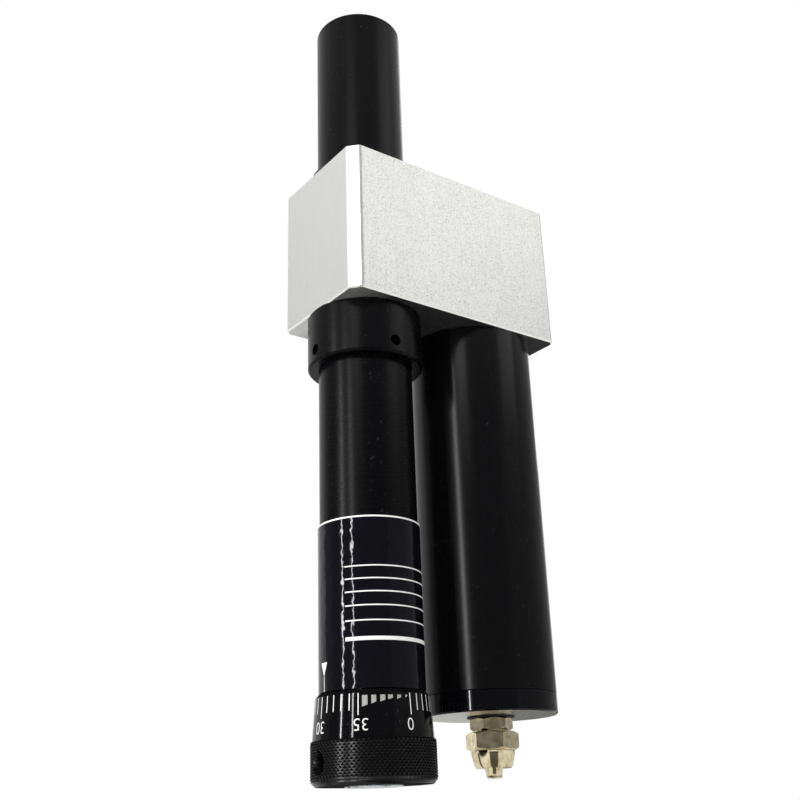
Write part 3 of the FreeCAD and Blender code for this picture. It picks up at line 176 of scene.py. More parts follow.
# Each sheet spans two plan angles, two distances from a middle and two levels
for name, colour, middle, turns, reaches, levels in (
    ("pale_velvet_left", "#9C9C9C", (0, 0), (122, 146), VELVET_REACH, VELVET_LEVELS),
    ("grey_velvet", "#787878", (0, 0), (146, 276), VELVET_REACH, VELVET_LEVELS),
    ("pale_velvet_right", "#A8A8A8", (0, 0), (276, 385), VELVET_REACH, VELVET_LEVELS),
    ("grey_card_wide", "#57524C", FITTING_PLACE, (210, 258), CARD_REACH, CARD_LEVELS),
    ("grey_card_narrow", "#3C3834", FITTING_PLACE, (140, 151), CARD_REACH, CARD_LEVELS),
    ("grey_card_behind", "#4A4A4A", FITTING_PLACE, (30, 49.3), (0.3, 2.5), CARD_LEVELS),
):
    bpy.ops.object.select_all(action="DESELECT")
    bpy.ops.mesh.primitive_plane_add(size=1, location=(0, 0, 0))
    sheet = bpy.context.object
    sheet.name = name
    bpy.ops.object.mode_set(mode="EDIT")
    bpy.ops.mesh.subdivide(number_cuts=SHEET_CUTS)
    bpy.ops.object.mode_set(mode="OBJECT")
    for corner in sheet.data.vertices:
        along, up = corner.co.x + 0.5, corner.co.y + 0.5
        side = math.radians(turns[0] + along * (turns[1] - turns[0]))
        reach = reaches[0] + up * (reaches[1] - reaches[0])
        level = levels[0] + up * (levels[1] - levels[0])
        corner.co = (middle[0] + reach * math.cos(side), middle[1] + reach * math.sin(side), level)
    sheet.data.materials.append(finish(name, colour, 0, 1.0, 0)[0])
    sheet.visible_camera = False
    sheet.visible_diffuse = False
    sheet.visible_shadow = False

# Manifold block. Sawn and milled from aluminium bar, glass-blasted to an even silver grey
# with bevelled upright edges, and bored for the regulator, the tank, the oil passage and
# the four threaded mounting holes in its back.
BLOCK_LOW = (-66.5, -51, -31.25)
BLOCK_HIGH = (34, 0, 31.25)
CORNER_BEVEL = 4
SIDE_BEVEL = 2
EDGE_BEVEL = 0.6
BROKEN_EDGE = 0.15
REGULATOR = (-45, -25.5)
TANK = (8, -25.5)
BORE_RADIUS = 18.05
BORE_REACH = 40
NECK_RADIUS = 14.05
NECK_DEPTH = 16
BOLT_SPOTS = ((-20, -16.25), (20, -16.25), (-20, 16.25), (20, 16.25))
BOLT_RADIUS = 2.5
BOLT_FLARE = 0.5
BOLT_DEPTH = 12
PLUG_RADIUS = 5.05
PLUG_DEPTH = 9
BLEED_RADIUS = 4.3
BLEED_DEPTH = 12
DRILL_SPARE = 0.5
DRILL_STEPS = 48
BLAST_GRAIN = 0.35
CLOUD_PATCH = 40
PIT = 0.45
MILL_MARK = 0.4
MOTTLE_PATCH = 1
CLOSE = 1e-6
DOWNWARD = -0.9
SLOPING = 0.3
SIDEWAYS = 0.1
CORNER_TURNS = (220, 230)
EDGE_LINE_TURNS = (230, 265)


def only(piece):
    """Leaves nothing but this piece selected and active."""
    bpy.ops.object.select_all(action="DESELECT")
    piece.select_set(True)
    bpy.context.view_layer.objects.active = piece


def pick(piece, kind, wanted):
    """Selects, in edit mode, the edges or faces that a test finds by their place."""
    bpy.ops.mesh.select_mode(type={"edges": "EDGE", "faces": "FACE"}[kind])
    bpy.ops.mesh.select_all(action="DESELECT")
    shape = bmesh.from_edit_mesh(piece.data)
    for part in getattr(shape, kind):
        part.select_set(wanted(part))
    shape.select_flush_mode()
    bmesh.update_edit_mesh(piece.data)


def turn(name, spot, profile, steps=96):
    """Turns a profile of (height, radius) pairs, in mm, about an upright axis as a closed solid."""
    bpy.ops.object.select_all(action="DESELECT")
    height, radius = profile[0]
    x, y = spot[0] * MM, spot[1] * MM
    bpy.ops.mesh.primitive_circle_add(
        vertices=steps, radius=radius * MM, location=(x, y, height * MM))
    piece = bpy.context.object
    piece.name = name
    bpy.ops.object.mode_set(mode="EDIT")
    bpy.ops.mesh.select_mode(type="VERT")
    bpy.ops.mesh.select_all(action="SELECT")
    for (height, radius), (rise_to, wide_to) in zip(profile, profile[1:]):
        rise = (rise_to - height) * MM
        grow = wide_to / radius
        bpy.ops.mesh.extrude_region_move(TRANSFORM_OT_translate={"value": (0, 0, rise)})
        bpy.ops.transform.resize(value=(grow, grow, 1), center_override=(x, y, rise_to * MM))
    bpy.ops.mesh.select_all(action="SELECT")
    if profile[0] == profile[-1]:
        bpy.ops.mesh.remove_doubles(threshold=0.001 * MM)
    else:
        bpy.ops.mesh.fill_holes(sides=0)
    bpy.ops.mesh.select_all(action="SELECT")
    bpy.ops.mesh.normals_make_consistent(inside=False)
    bpy.ops.object.mode_set(mode="OBJECT")
    bpy.ops.object.transform_apply(location=True, rotation=True, scale=True)
    return piece


def drill(name, mouth, depth, radius, along, flare=0):
    """A drill's shape in mm, to cut a round hole with from its mouth, along a direction."""
    profile = [(DRILL_SPARE, radius), (-depth, radius)]
    if flare:
        wide = radius + flare
        profile = [(DRILL_SPARE, wide), (0, wide), (-flare, radius), (-depth, radius)]
    cutter = turn(name, (0, 0), profile, DRILL_STEPS)
    way = Vector(along).to_track_quat("-Z", "Y").to_matrix().to_4x4()
    cutter.data.transform(Matrix.Translation(Vector(mouth) * MM) @ way)
    return cutter


def carve(piece, cutter, operation="DIFFERENCE"):
    """Cuts one mesh with another, which is then thrown away."""
    only(piece)
    change = piece.modifiers.new("carve", "BOOLEAN")
    change.operation = operation
    change.solver = "EXACT"
    change.object = cutter
    bpy.ops.object.modifier_apply(modifier=change.name)
    bpy.data.objects.remove(cutter)


def smooth(piece, limit=30):
    """Smooth shading with crisp edges, weighted so that flat faces stay flat."""
    only(piece)
    bpy.ops.object.shade_smooth_by_angle(angle=math.radians(limit))
    change = piece.modifiers.new("normals", "WEIGHTED_NORMAL")
    change.keep_sharp = True
    bpy.ops.object.modifier_apply(modifier=change.name)


def soften(piece, width, limit=30):
    """Breaks the sharp edges by a width in mm, then shades the piece."""
    only(piece)
    change = piece.modifiers.new("edges", "BEVEL")
    change.width = width * MM
    change.segments = 2
    change.limit_method = "ANGLE"
    change.angle_limit = math.radians(limit)
    change.use_clamp_overlap = True
    bpy.ops.object.modifier_apply(modifier=change.name)
    smooth(piece, limit)


# Fine glass-blasted aluminium: a pale silver, with a grain of a third of a millimetre, and
# under it the faint upright marks of the mill. The broad faces are finely pitted.
blasted, tree, shader = finish("blasted_aluminium", "#CFCFCD", 1, 0.48)
spot = node(tree, "TexCoord")
grain = node(tree, "TexNoise", {
    "Vector": (spot, "Object"), "Scale": 1 / (BLAST_GRAIN * MM), "Detail": 3})
along = node(tree, "Mapping", {"Vector": (spot, "Object"), "Scale": (1, 1, 0.02)})
marks = node(tree, "TexNoise", {
    "Vector": (along, 0), "Scale": 1 / (MILL_MARK * MM), "Detail": 3})
cloud = node(tree, "TexNoise", {
    "Vector": (spot, "Object"), "Scale": 1 / (CLOUD_PATCH * MM), "Detail": 4})
speck = node(tree, "MapRange", {"Value": (grain, "Fac"), "From Min": 0.3, "From Max": 0.7})
shade = node(tree, "Mix", {
    0: (speck, 0), 6: linear("#BEBFBD"), 7: linear("#DCDCDA")}, data_type="RGBA")
patch = node(tree, "MapRange", {
    "Value": (cloud, "Fac"), "From Min": 0.35, "From Max": 0.65, "To Max": 0.35})
even = node(tree, "Mix", {0: (patch, 0), 6: (shade, 2), 7: linear("#D2D1CC")}, data_type="RGBA")
streak = node(tree, "MapRange", {
    "Value": (marks, "Fac"), "From Min": 0.5, "From Max": 0.75, "To Max": 0.16})
lined = node(tree, "Mix", {0: (streak, 0), 6: (even, 2), 7: linear("#A5A6A4")}, data_type="RGBA")
pits = node(tree, "TexNoise", {
    "Vector": (spot, "Object"), "Scale": 1 / (PIT * MM), "Detail": 1})
facing = node(tree, "SeparateXYZ", {"Vector": (spot, "Normal")})
broad = node(tree, "Math", {0: (facing, "Y")}, operation="ABSOLUTE")
share = node(tree, "MapRange", {
    "Value": (broad, 0), "From Min": 0.72, "From Max": 0.9, "To Min": 0.1, "To Max": 0.7})
pitted = node(tree, "MapRange", {
    "Value": (pits, "Fac"), "From Min": 0.6, "From Max": 0.7, "To Max": (share, 0)})
tone = node(tree, "Mix", {0: (pitted, 0), 6: (lined, 2), 7: linear("#7F807E")}, data_type="RGBA")
rough = node(tree, "MapRange", {"Value": (marks, "Fac"), "To Min": 0.46, "To Max": 0.54})
height = node(tree, "Math", {
    0: (marks, "Fac"), 1: 0.12, 2: (grain, "Fac")}, operation="MULTIPLY_ADD")
relief = node(tree, "Bump", {"Height": (height, 0), "Strength": 0.35, "Distance": 0.02 * MM})
wire(tree, shader, tone, rough, relief)

# The underside is milled and left so, and mirrors the black tubes that hang from it. Its dark grey
# is painted shade, which fades out towards the pale silver end beside the regulator.
SHADE_FADE_FROM = -62
SHADE_FADE_TO = -48
shaded_underside, tree, shader = finish("milled_aluminium_painted_shade", "#5A5B5C", 0.75, 0.22)
spot = node(tree, "TexCoord")
across = node(tree, "Mapping", {"Vector": (spot, "Object"), "Scale": (0.03, 1, 1)})
marks = node(tree, "TexNoise", {
    "Vector": (across, 0), "Scale": 1 / (MILL_MARK * MM), "Detail": 3})
shaded_marks = node(tree, "Mix", {
    0: (marks, "Fac"), 6: linear("#444546"), 7: linear("#6A6B6C")}, data_type="RGBA")
place = node(tree, "SeparateXYZ", {"Vector": (spot, "Object")})
# How much painted shade darkens the underside: none at the end beside the regulator, full from
# there on
shade_fade = node(tree, "MapRange", {
    "Value": (place, "X"), "From Min": SHADE_FADE_FROM * MM, "From Max": SHADE_FADE_TO * MM})
tone = node(tree, "Mix", {0: (shade_fade, 0), 6: linear("#C4C4C2"), 7: (shaded_marks, 2)}, data_type="RGBA")
rough = node(tree, "MapRange", {"Value": (marks, "Fac"), "To Min": 0.12, "To Max": 0.22})
relief = node(tree, "Bump", {"Height": (marks, "Fac"), "Strength": 0.2, "Distance": 0.02 * MM})
wire(tree, shader, tone, rough, relief)

# A darker, mottled grey line along the edge between the broad bevel and the front face
edge_line, tree, shader = finish("darker_edge_line", "#8C8D8B", 0.5, 0.6)
spot = node(tree, "TexCoord")
mottle = node(tree, "TexNoise", {
    "Vector": (spot, "Object"), "Scale": 1 / (MOTTLE_PATCH * MM), "Detail": 3})
tone = node(tree, "Mix", {
    0: (mottle, "Fac"), 6: linear("#82837F"), 7: linear("#C6C7C4")}, data_type="RGBA")
wire(tree, shader, tone)

# The broad bevel beside the regulator and the lower edges carry a painted highlight: a brighter
# silver than the blasted faces, smoother, with fine upright lines from the cutter
painted_highlight, tree, shader = finish("bright_painted_highlight_aluminium", "#F4F4F2", 1, 0.3)
spot = node(tree, "TexCoord")
drawn = node(tree, "Mapping", {"Vector": (spot, "Object"), "Scale": (1, 1, 0.02)})
marks = node(tree, "TexNoise", {
    "Vector": (drawn, 0), "Scale": 1 / (MILL_MARK * MM), "Detail": 3})
rough = node(tree, "MapRange", {"Value": (marks, "Fac"), "To Min": 0.26, "To Max": 0.4})
wire(tree, shader, rough=rough)

low = Vector(BLOCK_LOW) * MM
high = Vector(BLOCK_HIGH) * MM
bpy.ops.object.select_all(action="DESELECT")
bpy.ops.mesh.primitive_cube_add(size=1, location=(low + high) / 2, scale=high - low)
block = bpy.context.object
block.name = "milled_block"
bpy.ops.object.transform_apply(location=True, rotation=True, scale=True)
bpy.ops.object.mode_set(mode="EDIT")


def upright(edge, front):
    """Whether an edge stands on end, and is or isn't the one at the regulator's front."""
    first, last = (end.co for end in edge.verts)
    at_front = first.x < low.x + MM and first.y < low.y + MM
    return abs(first.z - last.z) > MM and at_front == front


def at_rim(edge):
    """Whether an edge runs round the block's top or its underside."""
    ends_there = all(abs(end.co.z) > BLOCK_HIGH[2] * MM - CLOSE for end in edge.verts)
    return ends_there and len(edge.link_faces) == 2


pick(block, "edges", lambda edge: upright(edge, False))
bpy.ops.mesh.bevel(offset=SIDE_BEVEL * MM, segments=1, affect="EDGES")
pick(block, "edges", lambda edge: upright(edge, True))
bpy.ops.mesh.bevel(offset=CORNER_BEVEL * MM, segments=1, affect="EDGES")
pick(block, "edges", at_rim)
bpy.ops.mesh.bevel(offset=EDGE_BEVEL * MM, segments=1, affect="EDGES")
bpy.ops.mesh.select_all(action="SELECT")
bpy.ops.mesh.normals_make_consistent(inside=False)
bpy.ops.object.mode_set(mode="OBJECT")
carve(block, turn("bore", REGULATOR, [(-BORE_REACH, BORE_RADIUS), (BORE_REACH, BORE_RADIUS)]))
carve(block, drill("neck", (*TANK, BLOCK_LOW[2]), NECK_DEPTH, NECK_RADIUS, (0, 0, 1)))
carve(block, drill("bleed", (*TANK, BLOCK_HIGH[2]), BLEED_DEPTH, BLEED_RADIUS, (0, 0, -1)))
passage_mouth = (BLOCK_HIGH[0], REGULATOR[1], 0)
carve(block, drill("passage", passage_mouth, PLUG_DEPTH, PLUG_RADIUS, (-1, 0, 0)))
for across, up in BOLT_SPOTS:
    bolt_mouth = (across, 0, up)
    carve(block, drill("bolt", bolt_mouth, BOLT_DEPTH, BOLT_RADIUS, (0, -1, 0), BOLT_FLARE))
soften(block, BROKEN_EDGE)
block.data.materials.clear()
for material in (blasted, shaded_underside, edge_line, painted_highlight):
    block.data.materials.append(material)
for face in block.data.polygons:
    turned = math.degrees(math.atan2(face.normal.y, face.normal.x)) % 360
    on_side = abs(face.normal.z) < SIDEWAYS
    in_corner = on_side and CORNER_TURNS[0] < turned < CORNER_TURNS[1]
    below = face.center.z < low.z + EDGE_BEVEL * MM
    # The underside takes the painted shade
    if face.normal.z < DOWNWARD and abs(face.center.z - low.z) < MM / 2:
        face.material_index = 1
    # The faces along the edge between the broad bevel and the front take the darker grey line
    if on_side and EDGE_LINE_TURNS[0] < turned < EDGE_LINE_TURNS[1]:
        face.material_index = 2
    # The broad bevel and the lower bevels take the painted highlight
    if in_corner or (below and DOWNWARD < face.normal.z < -SLOPING):
        face.material_index = 3
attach(block, "housing")
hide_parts("manifold_block")

# Regulator tube. Drawn aluminium tube, turned on its outside and black anodised to a satin
# sheen. It passes right through the block and holds the pressure tube, the head and the cap.
TUBE_FOOT = -173.75
TUBE_TOP = 106.85
TUBE_RADIUS = 18
TUBE_BORE = 15
TUBE_BEVEL = 0.6
TUBE_EDGE = 0.1
TUBE_STEPS = 128
RING_LOW = 101.25
RING_HIGH = 102.45
RING_GROOVE = 15.7
TURNING_PITCH = 0.25
SATIN_PATCH = 1.5


def black_anodised(name, colour, rough_low, rough_high, specular, strength):
    """Turned, then dyed black, with a little dust. The tool's rings are drawn coarse, to show."""
    made, tree, shader = finish(name, colour, 0, rough_low, specular)
    spot = node(tree, "TexCoord")
    rings = node(tree, "Mapping", {"Vector": (spot, "Object"), "Scale": (0.02, 0.02, 1)})
    marks = node(tree, "TexNoise", {
        "Vector": (rings, 0), "Scale": 1 / (TURNING_PITCH * MM), "Detail": 2})
    blotch = node(tree, "TexNoise", {
        "Vector": (spot, "Object"), "Scale": 1 / (SATIN_PATCH * MM), "Detail": 5})
    both = node(tree, "Math", {
        0: (blotch, "Fac"), 1: 0.6, 2: (marks, "Fac")}, operation="MULTIPLY_ADD")
    rough = node(tree, "MapRange", {
        "Value": (both, 0), "From Min": 0.5, "From Max": 1.1,
        "To Min": rough_low, "To Max": rough_high})
    dust = node(tree, "MapRange", {
        "Value": (blotch, "Fac"), "From Min": 0.66, "From Max": 0.78, "To Max": 1.0})
    tone = node(tree, "Mix", {
        0: (dust, 0), 6: linear(colour), 7: linear("#26272A")}, data_type="RGBA")
    relief = node(tree, "Bump", {
        "Height": (marks, "Fac"), "Strength": strength, "Distance": 0.01 * MM})
    wire(tree, shader, tone, rough, relief)
    return made


anodised = black_anodised("black_anodised", "#060608", 0.23, 0.32, 0.072, 0.2)
tube = turn("regulator_tube_turned", REGULATOR, [
    (TUBE_FOOT, TUBE_BORE), (TUBE_FOOT, TUBE_RADIUS), (TUBE_TOP - TUBE_BEVEL, TUBE_RADIUS),
    (TUBE_TOP, TUBE_RADIUS - TUBE_BEVEL), (TUBE_TOP, TUBE_BORE + TUBE_BEVEL),
    (TUBE_TOP - TUBE_BEVEL, TUBE_BORE), (RING_HIGH, TUBE_BORE), (RING_HIGH, RING_GROOVE),
    (RING_LOW, RING_GROOVE), (RING_LOW, TUBE_BORE), (TUBE_FOOT, TUBE_BORE)], TUBE_STEPS)
soften(tube, TUBE_EDGE)
tube.data.materials.append(anodised)
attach(tube, "housing")
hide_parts("regulator_tube")

# Lock ring. A turned aluminium nut, black anodised, that clamps the block on the tube from
# below. Four round holes in its wall take a pin spanner.
LOCK_TOP = -31.25
LOCK_FOOT = -52.75
LOCK_RADIUS = 22.2
LOCK_BORE = 18.05
LOCK_BEVEL = 0.8
LOCK_EDGE = 0.2
LOCK_CREASE = 35
PIN_LEVEL = -47.75
PIN_RADIUS = 2.15
PIN_DEPTH = 3
PIN_TURN = -92.5


def way_out(angle):
    """The direction that faces out of a round part at a plan angle in degrees."""
    side = math.radians(angle)
    return Vector((math.cos(side), math.sin(side), 0))


lock = turn("lock_ring_turned", REGULATOR, [
    (LOCK_FOOT, LOCK_BORE), (LOCK_FOOT, LOCK_RADIUS - LOCK_BEVEL),
    (LOCK_FOOT + LOCK_BEVEL, LOCK_RADIUS), (LOCK_TOP, LOCK_RADIUS), (LOCK_TOP, LOCK_BORE),
    (LOCK_FOOT, LOCK_BORE)], TUBE_STEPS)
for quarter in range(4):
    out = way_out(PIN_TURN + 90 * quarter)
    mouth = Vector((*REGULATOR, PIN_LEVEL)) + out * LOCK_RADIUS
    carve(lock, drill("pin", mouth, PIN_DEPTH, PIN_RADIUS, -out))
soften(lock, LOCK_EDGE, LOCK_CREASE)
lock.data.materials.clear()
lock.data.materials.append(anodised)
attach(lock, "housing")
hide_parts("lock_ring")

# Label sleeve. A glossy black film, printed in white and wrapped round the tube above the
# dial: a ring line at its upper edge, blank ruled lines and the pointer for the dial's scale.
LABEL_TOP = -114.65
LABEL_RADIUS = 18.7
LABEL_EDGE = 0.15
LABEL_STEPS = 180
FILM_BORE = TUBE_RADIUS + 0.02
FILM_WAVE = 3
FILM_GRAIN = 0.6
INK_GRAIN = 0.5
PRINT_SKIN = 0.03
RING_LINE = (LABEL_TOP - 0.85, LABEL_TOP - 0.25)
RULES = ((-132.75, 0.45), (-137.15, 0.45), (-141.65, 0.45),
         (-146.35, 0.45), (-151.45, 0.45), (-157.55, 1.3))
RULE_START = -152
RULE_END = -34
RULE_STEPS = 360
POINTER_TOP = -164.05
POINTER_TIP = -168.45
POINTER_TURN = 175.5
POINTER_WIDTH = 4
POINTER_POINT = 0.04
POINTER_CUTS = 7
POINTER_LINE = 0.35
LINE_GAP = 0.3


def around(angle, radius, level):
    """A place round the regulator, in metres, from its plan angle and its radius and level."""
    side = math.radians(angle)
    x, y = REGULATOR
    return Vector((x + radius * math.cos(side), y + radius * math.sin(side), level)) * MM


def facing_out(angle, radius, level):
    """The transform that stands a flat mark at such a place, facing out of the regulator."""
    stand = Matrix.Rotation(math.pi / 2, 4, "X")
    facing = Matrix.Rotation(math.radians(angle + 90), 4, "Z") @ stand
    return Matrix.Translation(around(angle, radius, level)) @ facing


def rule(low, high, start, end):
    """A thin line round the label, from one plan angle to another."""
    band = turn("rule", REGULATOR, [(low, LABEL_RADIUS), (high, LABEL_RADIUS)], RULE_STEPS)
    only(band)
    bpy.ops.object.mode_set(mode="EDIT")
    middle = Vector((*REGULATOR, 0)) * MM

    def outside(face):
        way = face.calc_center_median() - middle
        angle = math.degrees(math.atan2(way.y, way.x))
        return abs(face.normal.z) > 0.5 or (angle - start) % 360 > end - start

    pick(band, "faces", outside)
    bpy.ops.mesh.delete(type="FACE")
    bpy.ops.object.mode_set(mode="OBJECT")
    return band


def patch_on(name, angle, radius, level, width, height, cuts=0):
    """A small flat patch, in mm, that stands on the regulator and faces out of it."""
    bpy.ops.object.select_all(action="DESELECT")
    bpy.ops.mesh.primitive_plane_add(size=MM, location=(0, 0, 0))
    patch = bpy.context.object
    patch.name = name
    if cuts:
        bpy.ops.object.mode_set(mode="EDIT")
        bpy.ops.mesh.subdivide(number_cuts=cuts)
        bpy.ops.object.mode_set(mode="OBJECT")
    patch.data.transform(facing_out(angle, radius, level) @ Matrix.Diagonal((width, height, 1, 1)))
    return patch


def ink(pieces, name, onto, material):
    """Joins flat marks, lays them on the surface under them and gives them an ink's thickness."""
    only(pieces[0])
    for piece in pieces:
        piece.select_set(True)
    bpy.ops.object.join()
    mark = bpy.context.object
    mark.name = name
    lay = mark.modifiers.new("lay", "SHRINKWRAP")
    lay.wrap_method = "NEAREST_SURFACEPOINT"
    lay.wrap_mode = "ABOVE_SURFACE"
    lay.target = onto
    lay.offset = PRINT_SKIN * MM
    bpy.ops.object.modifier_apply(modifier=lay.name)
    thick = mark.modifiers.new("thick", "SOLIDIFY")
    thick.thickness = PRINT_SKIN * MM / 2
    thick.offset = 0
    bpy.ops.object.modifier_apply(modifier=thick.name)
    mark.data.materials.clear()
    mark.data.materials.append(material)
    return mark


# Printed polyester film: near black, with a gloss coat and slow waves from being wrapped
film, tree, shader = finish("label_film", "#0A0A10", 0, 0.05, 0.16)
spot = node(tree, "TexCoord")
wave = node(tree, "TexNoise", {
    "Vector": (spot, "Object"), "Scale": 1 / (FILM_WAVE * MM), "Detail": 1})
fine = node(tree, "TexNoise", {
    "Vector": (spot, "Object"), "Scale": 1 / (FILM_GRAIN * MM), "Detail": 2})
rough = node(tree, "MapRange", {"Value": (fine, "Fac"), "To Min": 0.04, "To Max": 0.1})
relief = node(tree, "Bump", {"Height": (wave, "Fac"), "Strength": 0.4, "Distance": 0.3 * MM})
wire(tree, shader, rough=rough, relief=relief)

# White screen ink: matt, a little thin in places
white_ink, tree, shader = finish("white_ink", "#E6E7E4", 0, 0.5, 0.3)
spot = node(tree, "TexCoord")
thin = node(tree, "TexNoise", {
    "Vector": (spot, "Object"), "Scale": 1 / (INK_GRAIN * MM), "Detail": 3})
tone = node(tree, "Mix", {
    0: (thin, "Fac"), 6: linear("#C9CBC9"), 7: linear("#F4F4F1")}, data_type="RGBA")
wire(tree, shader, tone)

label = turn("label_sleeve_film", REGULATOR, [
    (TUBE_FOOT, FILM_BORE), (TUBE_FOOT, LABEL_RADIUS), (LABEL_TOP - LABEL_EDGE, LABEL_RADIUS),
    (LABEL_TOP, LABEL_RADIUS - LABEL_EDGE), (LABEL_TOP, FILM_BORE),
    (TUBE_FOOT, FILM_BORE)], LABEL_STEPS)
smooth(label)
label.data.materials.append(film)
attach(label, "housing")
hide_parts("label_sleeve")

marks = [rule(*RING_LINE, 0, 360)]
for level, wide in RULES:
    marks.append(rule(level - wide / 2, level + wide / 2, RULE_START, RULE_END))
pointer_height = POINTER_TOP - POINTER_TIP
pointer = patch_on("pointer", POINTER_TURN, LABEL_RADIUS, (POINTER_TOP + POINTER_TIP) / 2,
                   POINTER_WIDTH, pointer_height, POINTER_CUTS)
middle = around(POINTER_TURN, LABEL_RADIUS, 0)
for corner in pointer.data.vertices:
    share = (corner.co.z / MM - POINTER_TIP) / pointer_height
    share = POINTER_POINT + (1 - POINTER_POINT) * share
    corner.co.x = middle.x + (corner.co.x - middle.x) * share
    corner.co.y = middle.y + (corner.co.y - middle.y) * share
marks.append(pointer)
marks.append(patch_on("line", POINTER_TURN, LABEL_RADIUS, (POINTER_TIP + TUBE_FOOT) / 2,
                      POINTER_LINE, POINTER_TIP - TUBE_FOOT - LINE_GAP))
print_marks = ink(marks, "label_print", label, white_ink)
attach(print_marks, "housing")

# Adjusting dial. A turned aluminium knob, black anodised, with a printed scale from 0 to 35
# on its cone and a diamond-knurled grip. A set screw in its side holds it on the spindle.
DIAL_FOOT = -203.75
DIAL_TOP = -174.25
GRIP_LOW = 1.5
GRIP_HIGH = 13.9
GRIP_RADIUS = 21.7
GRIP_FOOT = 20.1
GRIP_EDGE = 21.6
GRIP_CREST = (14.3, 21.3)
KNURL_DEPTH = 0.5
KNURL_ROUND = 80
KNURL_ROWS = 7
KNURL_SLACK = 0.05
KNURL_CREASE = 18
CONE_LOW = (14.9, 20.96)
CONE_HIGH = (28.4, 19.86)
DIAL_CREST = (29.5, 18.9)
DIAL_BORE = 12.5
CUP_FLOOR = 14.5
HUB_BORE = 5.1
DISC_BORE = 10.15
DISC_SINK = 1.6
SCREW_TURN = 175.8
SCREW_LEVEL = 7.3
SCREW_MOUTH = 3.9
MOUTH_DEPTH = 4.3
SCREW_RADIUS = 2.5
SCREW_DEPTH = 16
FOOT_GRAIN = 0.5
WORN_DEPTH = 0.16
WORN_PATCH = 1.2
grip_valley = GRIP_RADIUS - KNURL_DEPTH
row_height = (GRIP_HIGH - GRIP_LOW) / KNURL_ROWS
rows = [(GRIP_LOW + row_height * row, grip_valley) for row in range(KNURL_ROWS + 1)]
profile = [
    (DISC_SINK, DISC_BORE), (0, DISC_BORE), (0, GRIP_FOOT), (GRIP_LOW, GRIP_EDGE), *rows,
    (GRIP_HIGH, GRIP_EDGE), GRIP_CREST, (GRIP_CREST[0], CONE_LOW[1]), CONE_LOW, CONE_HIGH,
    DIAL_CREST, (DIAL_TOP - DIAL_FOOT, DIAL_BORE), (CUP_FLOOR, DIAL_BORE),
    (CUP_FLOOR, HUB_BORE), (DISC_SINK, HUB_BORE), (DISC_SINK, DISC_BORE)]
dial = turn(
    "dial_knurled", REGULATOR, [(DIAL_FOOT + up, wide) for up, wide in profile], KNURL_ROUND)
only(dial)
bpy.ops.object.mode_set(mode="EDIT")
band_low = (DIAL_FOOT + GRIP_LOW) * MM
band_high = (DIAL_FOOT + GRIP_HIGH) * MM
centre = Vector(REGULATOR) * MM


def in_band(point):
    """Whether a point is level with the grip's knurl."""
    return band_low - CLOSE < point.z < band_high + CLOSE


def over_valley(point):
    """How far out a point lies from the bottom of the knurl's valleys, in mm."""
    return (point.xy - centre).length / MM - grip_valley


def on_grip(point):
    """Whether a point lies on the grip's cylinder, from which the knurl is raised."""
    return in_band(point) and abs(over_valley(point)) < KNURL_SLACK


def first_grid(edge):
    """Whether an edge is one of the square grid's own, inside the band."""
    if not all(on_grip(end.co) for end in edge.verts) or len(edge.link_faces) != 2:
        return False
    lower, upper = sorted(end.co.z for end in edge.verts)
    stands = (edge.verts[0].co.xy - edge.verts[1].co.xy).length < CLOSE
    inside = band_low + 10 * CLOSE < lower and upper < band_high - 10 * CLOSE
    return stands or (upper - lower < CLOSE and inside)


# The diamonds: each square of the grip is split to its middle, the squares' own edges go, and
# what is left is drawn up to a point
pick(dial, "faces", lambda face: all(on_grip(corner.co) for corner in face.verts))
bpy.ops.mesh.poke(offset=0)
pick(dial, "edges", first_grid)
bpy.ops.mesh.dissolve_edges(use_verts=False)
pick(dial, "faces",
     lambda face: len(face.verts) == 4 and all(on_grip(corner.co) for corner in face.verts))
bpy.ops.mesh.poke(offset=KNURL_DEPTH * MM)
bpy.ops.object.mode_set(mode="OBJECT")
out = way_out(SCREW_TURN)
mouth = Vector((*REGULATOR, DIAL_FOOT + SCREW_LEVEL)) + out * GRIP_RADIUS
carve(dial, drill("mouth", mouth, MOUTH_DEPTH, SCREW_MOUTH, -out))
carve(dial, drill("thread", mouth, SCREW_DEPTH, SCREW_RADIUS, -out))
only(dial)
bpy.ops.object.shade_smooth_by_angle(angle=math.radians(KNURL_CREASE))
for edge in dial.data.edges:
    ends = [dial.data.vertices[end].co for end in edge.vertices]
    if all(in_band(end) and over_valley(end) > -KNURL_SLACK for end in ends):
        edge.use_edge_sharp = False


def from_axis(tree, spot, axis):
    """The distance of the surface from an upright axis, worked out in a material's nodes."""
    shift = node(tree, "VectorMath", {
        0: (spot, "Object"), 1: (-axis[0] * MM, -axis[1] * MM, 0)}, operation="ADD")
    flat = node(tree, "VectorMath", {0: (shift, 0), 1: (1, 1, 0)}, operation="MULTIPLY")
    return node(tree, "VectorMath", {0: (flat, 0)}, operation="LENGTH")


# The cone of the knob is polished before it is dyed, and shines like the label
cone_dye = black_anodised("polished_anodised", "#070709", 0.05, 0.1, 0.16, 0.03)

# Its foot is dyed over a rough cut, and swallows the light
foot_dye, tree, shader = finish("rough_anodised", "#0A0A0B", 0, 0.9, 0.02)
spot = node(tree, "TexCoord")
cuts = node(tree, "TexNoise", {
    "Vector": (spot, "Object"), "Scale": 1 / (FOOT_GRAIN * MM), "Detail": 4})
relief = node(tree, "Bump", {"Height": (cuts, "Fac"), "Strength": 0.5, "Distance": 0.1 * MM})
wire(tree, shader, relief=relief)

